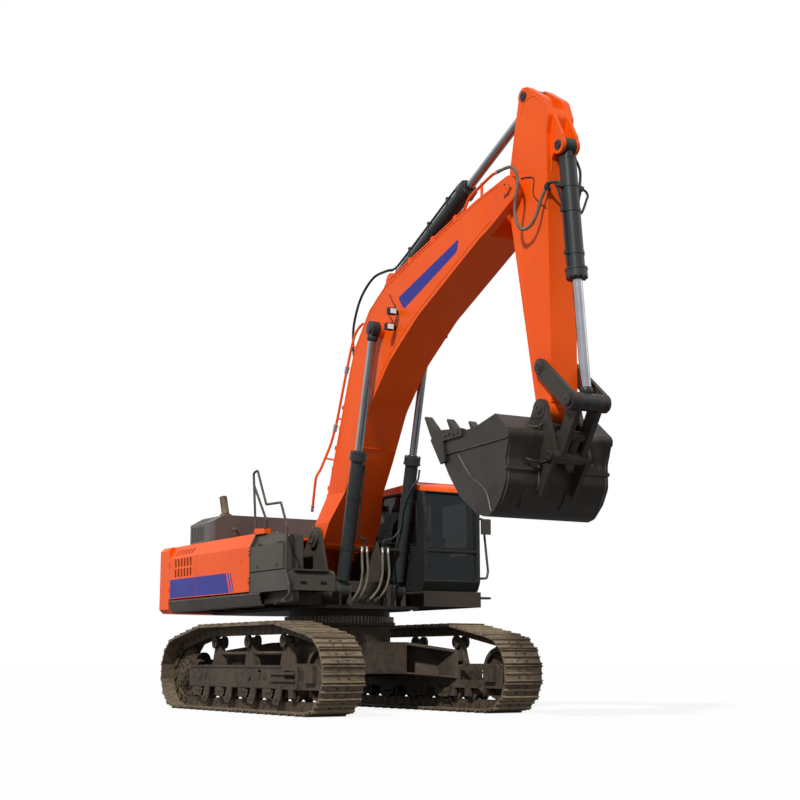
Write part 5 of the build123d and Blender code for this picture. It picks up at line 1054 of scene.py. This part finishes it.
CYL_FOOT, CYL_HEAD, CYL_Y = (0.880, 1.660), (1.740, 5.200), 0.438
BOOM_BARREL = 0.092
BARREL_SLOPE = 0.243
parts, screws = [], []
for side, bar_end in ((-1, -0.150), (1, 0.030)):
    axes = axes_of(CYL_FOOT, CYL_HEAD, side * CYL_Y)
    ribs, ring_of_bolts = gland(axes, 1.930, BOOM_BARREL, 10)
    parts += ribs + [band(axes, length, BOOM_BARREL) for length in (0.60, 1.30)]
    screws.append(ring_of_bolts)
    first, last = sorted((side * (CYL_Y - 0.10), bar_end))
    parts.append(box((1.075, first, 2.222), (1.118, last, 2.250)))
right_pipe = [(-0.350, 3.35, 0.060), (-0.344, 3.20, 0.062), (-0.342, 3.05, 0.062), (-0.342, 2.80, 0.066),
              (-0.342, 2.50, 0.070), (-0.322, 2.40, 0.075), (-0.280, 2.365, 0.080), (-0.222, 2.36, 0.085),
              (-0.195, 2.33, 0.085), (-0.190, 2.25, 0.075)]
left_pipe = [(0.530, 3.35, 0.075), (0.500, 3.20, 0.110), (0.410, 3.08, 0.105), (0.345, 2.80, 0.070),
             (0.342, 2.55, 0.070), (0.280, 2.44, 0.078), (0.200, 2.375, 0.085), (0.120, 2.36, 0.085),
             (0.080, 2.33, 0.085), (0.070, 2.25, 0.075)]
for line in (right_pipe, left_pipe):
    y, z, off = np.array(line).T
    x = CYL_FOOT[0] + (z - CYL_FOOT[1]) * BARREL_SLOPE + off
    parts.append(pipe(np.stack([x, y, z], 1), 0.015, 0.014, 10))
put("boom_barrel_fittings", "boom_barrels", parts, cylinder_paint, smooth=True)
put("boom_barrel_bolts", "boom_barrels", screws, worn_steel)
head_cap = [(-0.004, 0.068), (0.004, 0.066), (0.008, 0.058), (0.008, 0.0)]
parts = []
for side in (-1, 1):
    parts += eye_cover(axes_of(CYL_HEAD, CYL_FOOT, side * CYL_Y), 0.058)
    parts.append(turned(head_cap, (CYL_HEAD[0], side * (CYL_Y + 0.074), CYL_HEAD[1]), Y * side, 24))
put("boom_rod_eyes", "boom_rods", parts, cylinder_paint, smooth=True)
hose_lines = [[(1.108, -0.251, 2.205), (1.118, -0.251, 2.05), (1.118, -0.248, 1.88), (1.090, -0.268, 1.70),
               (1.035, -0.300, 1.59), (0.978, -0.318, 1.53)],
              [(1.108, -0.171, 2.205), (1.118, -0.165, 2.05), (1.118, -0.158, 1.88), (1.092, -0.185, 1.70),
               (1.035, -0.235, 1.58), (0.978, -0.262, 1.53)],
              [(1.108, 0.079, 2.205), (1.118, 0.076, 2.05), (1.118, 0.072, 1.88), (1.092, 0.035, 1.70),
               (1.035, -0.030, 1.58), (0.978, -0.070, 1.53)],
              [(1.108, 0.168, 2.205), (1.118, 0.176, 2.05), (1.118, 0.182, 1.88), (1.092, 0.150, 1.70),
               (1.035, 0.085, 1.58), (0.978, 0.045, 1.53)]]
HOSE_END = 0.023
upper_ends, lower_ends = [], []
for index, line in enumerate(hose_lines):
    drop_hose = put("boom_cylinder_hose_%d" % (index + 1), None, [hose(line, 0.017)], guard_sleeve,
                    smooth=True)
    y = line[0][1]
    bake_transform(drop_hose)
    upper_ends += coupling((1.106, y, 2.225), (0.06, 0.0, -1.0), HOSE_END)
    way = np.array(line[-2]) - np.array(line[-1])
    lower_ends += coupling(np.array(line[-1]) + way * 0.05, way, HOSE_END)
put("barrel_hose_fittings", "boom_barrels", upper_ends, fitting_steel, smooth=True)
put("deck_hose_fittings", "upperstructure", lower_ends, fitting_steel, smooth=True)
put("deck_hose_block", "upperstructure", [box((0.880, -0.338, 1.456), (0.975, 0.120, 1.560))], deck_paint)

# Arm cylinder: it lies above the boom's back, with two dark pipes clamped on it, of which the right one runs
# to its mouth, and hoses that arch to it from the boom.
ARM_FOOT, ARM_HEAD = (1.640, 5.950), (4.990, 7.510)
ARM_BARREL = 0.108
axes = axes_of(ARM_FOOT, ARM_HEAD)
parts, ring_of_bolts = gland(axes, 2.030, ARM_BARREL, 12)
for y, far in ((-0.045, 1.86), (0.045, 0.30)):
    line = [beside(axes, 0.06, 0.150, y * 1.6), beside(axes, 0.30, 0.142, y),
            beside(axes, far - 0.05, 0.142, y), beside(axes, far, 0.118, y)]
    parts.append(pipe(line, 0.03, 0.016, 10))
for length in (0.55, 1.10, 1.62):
    place = beside(axes, length, 0.135)
    parts.append(band(axes, length, ARM_BARREL, 0.035))
    parts.append(prisms(rectangle(-0.02, 0.02, -0.03, 0.03), -0.075, 0.075, place, axes[1], axes[2], -Y))
put("arm_barrel_fittings", "arm_barrel", parts, cylinder_paint, smooth=True)
put("arm_barrel_bolts", "arm_barrel", [ring_of_bolts], worn_steel)
put("arm_rod_eye", "arm_rod", eye_cover(axes_of(ARM_HEAD, ARM_FOOT), 0.075), cylinder_paint,
    smooth=True)
for index, y in enumerate((-0.195, 0.195)):
    line = [(0.775, y, 4.80), (0.760, y, 4.95), (0.720, y, 5.22), (0.735, y * 0.95, 5.52),
            (0.900, y * 0.85, 5.86), (1.180, y * 0.65, 6.09), (1.480, y * 0.45, 6.13),
            tuple(beside(axes, 0.065, 0.150, y * 0.37))]
    arch = put("arm_cylinder_hose_%d" % (index + 1), None, [hose(line, 0.018)], rubber,
               smooth=True)
    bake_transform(arch)

# Boom back pipes: on each side a thicker orange pipe stands off the rear edge on stubs, with steel unions.
back_line = [(0.051, 0.480, 2.874), (0.110, 0.493, 3.029), (0.169, 0.505, 3.184), (0.216, 0.508, 3.308),
             (0.255, 0.460, 3.420), (0.317, 0.420, 3.573), (0.393, 0.372, 3.772), (0.478, 0.347, 3.996),
             (0.531, 0.338, 4.135), (0.657, 0.334, 4.467), (0.783, 0.330, 4.796), (0.908, 0.318, 5.127),
             (0.975, 0.300, 5.290), (1.050, 0.272, 5.385), (1.130, 0.256, 5.420)]
UNION_POINTS, STUB_POINTS = (7, 10), (5, 8, 11)
lower_nut = [(-0.050, 0.024), (-0.050, 0.030), (-0.004, 0.030), (-0.004, 0.024)]
upper_nut = [(0.004, 0.024), (0.004, 0.033), (0.050, 0.033), (0.050, 0.024)]
parts, unions = [], []
for side in (-1, 1):
    line = np.array(back_line) * (1.0, side, 1.0)
    parts.append(pipe(line, 0.02, 0.019, 10))
    for at in UNION_POINTS:
        unions += [turned(nut, line[at], line[at + 1] - line[at], 6) for nut in (lower_nut, upper_nut)]
    unions += coupling(line[0], line[0] - line[1])
    for at in STUB_POINTS:
        parts.append(tube([line[at], (line[at][0] + 0.095, side * 0.262, line[at][2] - 0.036)], 0.014, 8))
put("boom_back_pipes", "boom", parts, orange, smooth=True)
put("boom_back_unions", "boom", unions, fitting_steel)

# Boom end: on each side an orange pipe stands off the top on a bracket. From its fitting a guarded hose hangs
# in a loop to a fitting and a bent pipe on the arm.
top_line = [(3.640, 0.255, 6.355), (3.760, 0.255, 6.395), (3.880, 0.252, 6.520), (4.120, 0.250, 6.600),
            (4.370, 0.250, 6.668), (4.480, 0.250, 6.676)]
loop_line = [(4.500, 0.250, 6.678), (4.578, 0.270, 6.664), (4.828, 0.330, 6.622), (5.017, 0.385, 6.555),
             (5.119, 0.400, 6.443), (5.132, 0.400, 6.303), (5.085, 0.400, 6.133), (5.059, 0.390, 5.966),
             (5.085, 0.370, 5.823), (5.142, 0.340, 5.757), (5.259, 0.310, 5.778), (5.361, 0.290, 5.901),
             (5.422, 0.270, 6.061), (5.481, 0.250, 6.168)]
LOOP_END = 0.027
bracket_line = [(-0.030, -0.235), (0.030, -0.235), (0.022, 0.026), (-0.022, 0.026)]
pipes = [pipe(np.array(top_line) * (1.0, side, 1.0), 0.02, 0.019, 10) for side in (-1, 1)]
brackets = [prisms(bracket_line, -0.006, 0.006, (4.150, side * 0.250, 6.612), X, Z, Y) for side in (-1, 1)]
put("boom_top_pipes", "boom", pipes + brackets, orange, smooth=True)
parts, arm_parts = [], []
for side, label in ((-1, "right"), (1, "left")):
    line = np.array(loop_line) * (1.0, side, 1.0)
    last, way = line[-1], line[-1] - line[-2]
    loop_hose = put("arm_loop_hose_" + label, None, [hose(line, 0.020)], guard_sleeve,
                    smooth=True)
    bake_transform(loop_hose)
    parts += coupling((4.510, side * 0.250, 6.678), X, LOOP_END)
    arm_parts += coupling(last + way * 0.5, -way, LOOP_END)
    onward = [last, last + (0.03, 0.0, 0.06), last + (0.12, side * -0.05, 0.07),
              (5.62, side * 0.125, last[2] + 0.06)]
    arm_parts.append(pipe(onward, 0.015, 0.018, 10))
    clip_y = side * 0.18
    arm_parts.append(box((5.400, clip_y - 0.012, last[2] + 0.01), (5.47, clip_y + 0.012, last[2] + 0.075)))
put("loop_fittings_boom", "boom", parts, fitting_steel, smooth=True)
put("loop_fittings_arm", "arm", arm_parts, cylinder_paint, smooth=True)

# Arm: a welded box with a forked top. Weld beads run along its seams and round the top's doubler plate,
# a thin grease line crosses its right side, and turned caps cover the pins.
ARM_SIDE = 0.190
doubler = [(4.930, 7.300), (4.992, 7.394), (5.086, 7.446), (5.220, 7.437), (5.336, 7.341), (5.400, 7.250)]
rear_seam, front_seam = [(5.178, 3.80), (4.76, 6.00)], [(5.437, 4.40), (5.428, 6.60)]
parts = []
for side in (-1, 1):
    y = side * (ARM_SIDE + 0.0005)
    parts.append(weld(place_on("y", doubler, y), 0.006))
    parts += [weld(place_on("y", seam, y), 0.004) for seam in (rear_seam, front_seam)]
parts += [weld([(5.444, y, 6.44), (5.444, y, 6.86)], 0.007) for y in (-0.118, 0.118)]
put("arm_welds", "arm", parts, orange, smooth=True)
grease_line = [(4.886, 6.484), (5.040, 6.458), (5.182, 6.398), (5.167, 6.214), (5.295, 6.067), (5.430, 5.960)]
parts = [pipe(place_on("y", grease_line, -0.196), 0.02, 0.006, 6)]
put("arm_grease_line", "arm", parts, rubber, smooth=True)
parts = []
for side in (-1, 1):
    for x, y, z in ((4.990, 0.202, 7.510), (5.580, 0.133, 6.720)):
        parts.append(pin_cap((x, side * y, z), Y * side, 0.055))
put("arm_pin_caps", "arm", parts, cylinder_paint, smooth=True)

# Bucket cylinder: a barrel with clamps, a steel pipe down its right side, two bent pipes on its left and
# a dark eye below on its chromed rod.
BUCKET_FOOT, BUCKET_HEAD = (5.580, 6.720), (5.865, 3.585)
BUCKET_BARREL = 0.104
PIPE_Y = -0.128
axes = axes_of(BUCKET_FOOT, BUCKET_HEAD)
parts, ring_of_bolts = gland(axes, 1.660, BUCKET_BARREL, 12)
parts += [band(axes, length, BUCKET_BARREL, 0.04) for length in (0.52, 0.83, 1.36)]
right_run = [(0.54, 0.0, -0.185), (0.62, 0.0, -0.160), (0.80, 0.0, PIPE_Y), (1.20, 0.0, PIPE_Y),
             (1.46, 0.0, PIPE_Y), (1.54, 0.0, -0.112)]
upper_run = [(0.14, 0.02, 0.085), (0.20, 0.03, 0.118), (0.30, 0.02, 0.160), (0.40, 0.0, 0.168),
             (0.50, 0.0, 0.150)]
lower_run = [(0.52, 0.0, 0.19), (0.54, 0.0, 0.24), (0.59, 0.0, 0.262), (0.65, 0.0, 0.235), (0.75, 0.0, 0.19),
             (0.82, 0.0, 0.150), (0.84, 0.0, 0.112)]
parts.append(pipe([beside(axes, *place) for place in right_run], 0.02, 0.015, 10))
clip_line, block_line = rectangle(-0.020, 0.020, -0.024, 0.024), rectangle(-0.024, 0.024, -0.030, 0.030)
for length in (0.83, 1.36):
    parts.append(prisms(clip_line, -0.024, 0.024, beside(axes, length, 0.0, PIPE_Y), axes[1], axes[2], Y))
for y in (-0.150, 0.150):
    parts.append(prisms(block_line, -0.045, 0.045, beside(axes, 0.52, 0.0, y), axes[1], axes[2], Y))
for line, radius in ((upper_run, 0.016), (lower_run, 0.015)):
    parts.append(pipe([beside(axes, *place) for place in line], 0.015, radius, 10))
put("bucket_barrel_fittings", "bucket_barrel", parts, cylinder_paint, smooth=True)
put("bucket_barrel_bolts", "bucket_barrel", [ring_of_bolts], worn_steel)
put("bucket_rod_eye", "bucket_rod", eye_cover(axes_of(BUCKET_HEAD, BUCKET_FOOT), 0.075), cylinder_paint,
    smooth=True)

# Bucket linkage: two flat levers and a link of plate with turned bosses, painted dark.
link_paint = finish("linkage paint", (58, 54, 49), (44, 40, 37), 0.46, 18.0, dust=(92, 82, 70),
                    dust_share=0.22)
dress(link_paint, "rocker_levers", "bucket_link")
ROCKER_X, ROCKER_Z = 5.312, 4.068
HEAD_X, HEAD_Z = BUCKET_HEAD
LEVER_FACE = 0.262
parts = [pin_cap((ROCKER_X, side * 0.274, ROCKER_Z), Y * side, 0.058) for side in (-1, 1)]
put("rocker_pin_caps", "arm", parts, link_paint, smooth=True)
head_boss = [(-0.001, 0.104), (0.008, 0.102), (0.010, 0.094), (0.010, 0.066)]
rocker_boss = [(-0.001, 0.092), (0.006, 0.090), (0.008, 0.082), (0.008, 0.066)]
link_boss = [(-0.060, 0.1035), (-0.052, 0.1065), (0.052, 0.1065), (0.060, 0.1035)]
parts = []
for side in (-1, 1):
    out = Y * side
    parts.append(pin_cap((HEAD_X, side * 0.292, HEAD_Z), out, 0.062))
    parts.append(turned(head_boss, (HEAD_X, side * LEVER_FACE, HEAD_Z), out, 32))
    parts.append(turned(rocker_boss, (ROCKER_X, side * LEVER_FACE, ROCKER_Z), out, 32))
put("rocker_bosses", "rocker", parts, link_paint, smooth=True)
parts = [turned(link_boss, (HEAD_X, side * 0.140, HEAD_Z), Y, 36, False) for side in (-1, 1)]
put("link_bosses", "bucket_link", parts, link_paint, smooth=True)

# Bucket: a rolled shell plate between two cheeks, with bolted side cutters, cast adapters and shrouds along
# the lip, wear pads, bars and hooks on its back, and beads of weld worn bare.
bucket_paint = finish("bucket paint", (52, 49, 46), (35, 33, 31), 0.40, 10.0, patch=1.4, dust=(98, 84, 68),
                      dust_share=0.24, bump=0.2)
worn_edge = finish("worn bucket edge", (112, 106, 98), (66, 60, 54), 0.36, 22.0, patch=5.0, metal=0.5,
                   bump=0.25)
dress(bucket_paint, "bucket", "bucket_sides")
CHEEK = 0.740
LIP = 0.754
EAR_FACE = 0.262
cutter = [(3.905, 3.462), (4.452, 3.419), (4.452, 3.325), (4.040, 3.315), (4.090, 3.070), (3.985, 3.040),
          (3.760, 3.360)]
cutter_bolts = [(4.09, 3.372), (4.18, 3.385), (4.27, 3.366), (4.36, 3.378)]
cheek_bead = [(4.311, 3.127), (4.567, 2.847), (4.878, 2.639), (4.996, 2.380)]
lip_bead = [(4.060, 3.150), (5.330, 3.192)]
parts, heads, edges = [], [], []
for side in (-1, 1):
    parts.append(slab("y", cutter, side * (LIP - 0.002), side * (LIP + 0.030)))
    heads.append(bolts(place_on("y", cutter_bolts, side * (LIP + 0.030)), Y * side, 0.018, 0.014))
    edges.append(weld(place_on("y", cheek_bead, side * (CHEEK + 0.001)), 0.009))
    edges.append(weld(place_on("y", lip_bead, side * (LIP + 0.0005)), 0.005))
    right, left = sorted((side * EAR_FACE, side * 0.742))
    parts.append(box((5.255, right, 2.842), (5.318, left, 2.884)))
LIP_EDGE, TOOTH_AHEAD = np.array([3.770, 0.0, 3.360]), np.array([-0.6243, 0.0, 0.7812])
TOOTH_UP = np.array([-0.7812, 0.0, -0.6243])
tooth_axes = (TOOTH_AHEAD, TOOTH_UP, np.cross(TOOTH_AHEAD, TOOTH_UP))
adapter = [(-0.150, -0.052), (0.020, -0.078), (0.070, -0.074), (0.070, 0.074), (0.020, 0.078),
           (-0.150, 0.052)]
shroud = [(-0.130, -0.034), (0.006, -0.040), (0.030, 0.0), (0.006, 0.040), (-0.130, 0.034)]
ADAPTER_HALF = 0.064
for y in np.linspace(-0.655, 0.655, 5):
    foot = LIP_EDGE + Y * y
    parts.append(prisms(adapter, -ADAPTER_HALF, ADAPTER_HALF, foot, *tooth_axes))
    for side in (-1, 1):
        pin_place = foot + TOOTH_AHEAD * 0.020 + Y * side * ADAPTER_HALF
        parts.append(turned([(-0.001, 0.022), (0.006, 0.020), (0.008, 0.0)], pin_place, Y * side, 14))
for y in np.linspace(-0.491, 0.491, 4):
    parts.append(prisms(shroud, -0.085, 0.085, LIP_EDGE + Y * y, *tooth_axes))
ear_boss = [(-0.001, 0.118), (0.007, 0.116), (0.009, 0.108), (0.009, 0.068)]
upper_hook = [(5.250, 0.410, 3.385), (5.310, 0.375, 3.352), (5.360, 0.320, 3.345), (5.372, 0.272, 3.385)]
lower_hook = [(5.330, 0.480, 2.975), (5.372, 0.430, 2.945), (5.380, 0.350, 2.935), (5.350, 0.275, 2.900)]
for side in (-1, 1):
    out = Y * side
    parts.append(pin_cap((5.302, side * 0.2755, 3.566), out, 0.060))
    parts.append(turned(ear_boss, (5.302, side * EAR_FACE, 3.566), out, 32))
    parts.append(pin_cap((5.500, side * 0.288, 3.000), out, 0.062))
    for hook in (upper_hook, lower_hook):
        parts.append(pipe(np.array(hook) * (1.0, side, 1.0), 0.01, 0.016, 10))


def cast_on(name, y, heights):
    """Where lines that come from the front at one distance across meet a CAD node's surface."""
    hits = [node[name].ray_cast(Vector((5.9, y, z)), Vector((-1.0, 0.0, 0.0))) for z in heights]
    return np.array([hit[1] for hit in hits if hit[0]])


PAD_SINK, PAD_THICK = 0.004, 0.016
shell = cast_on("bucket", 0.400, np.linspace(2.640, 2.430, 9))[:, [0, 2]]
ahead = np.gradient(shell, axis=0)
normal = np.stack([-ahead[:, 1], ahead[:, 0]], 1) / np.linalg.norm(ahead, axis=1, keepdims=True)
pad_line = np.concatenate([shell - normal * PAD_SINK, (shell + normal * PAD_THICK)[::-1]])
parts += [slab("y", pad_line, low, high) for low, high in ((-0.440, -0.235), (0.135, 0.370))]
for side in (-1, 1):
    edges.append(weld(cast_on("bucket", side * 0.275, np.linspace(2.960, 2.560, 15)), 0.009))
    edges.append(weld(cast_on("bucket", side * 0.700, np.linspace(3.10, 2.46, 21)), 0.007))
put("bucket_hardware", "bucket", parts, bucket_paint, smooth=True)
put("bucket_bolts", "bucket", heads, worn_steel)
put("bucket_welds", "bucket", edges, worn_edge, smooth=True)
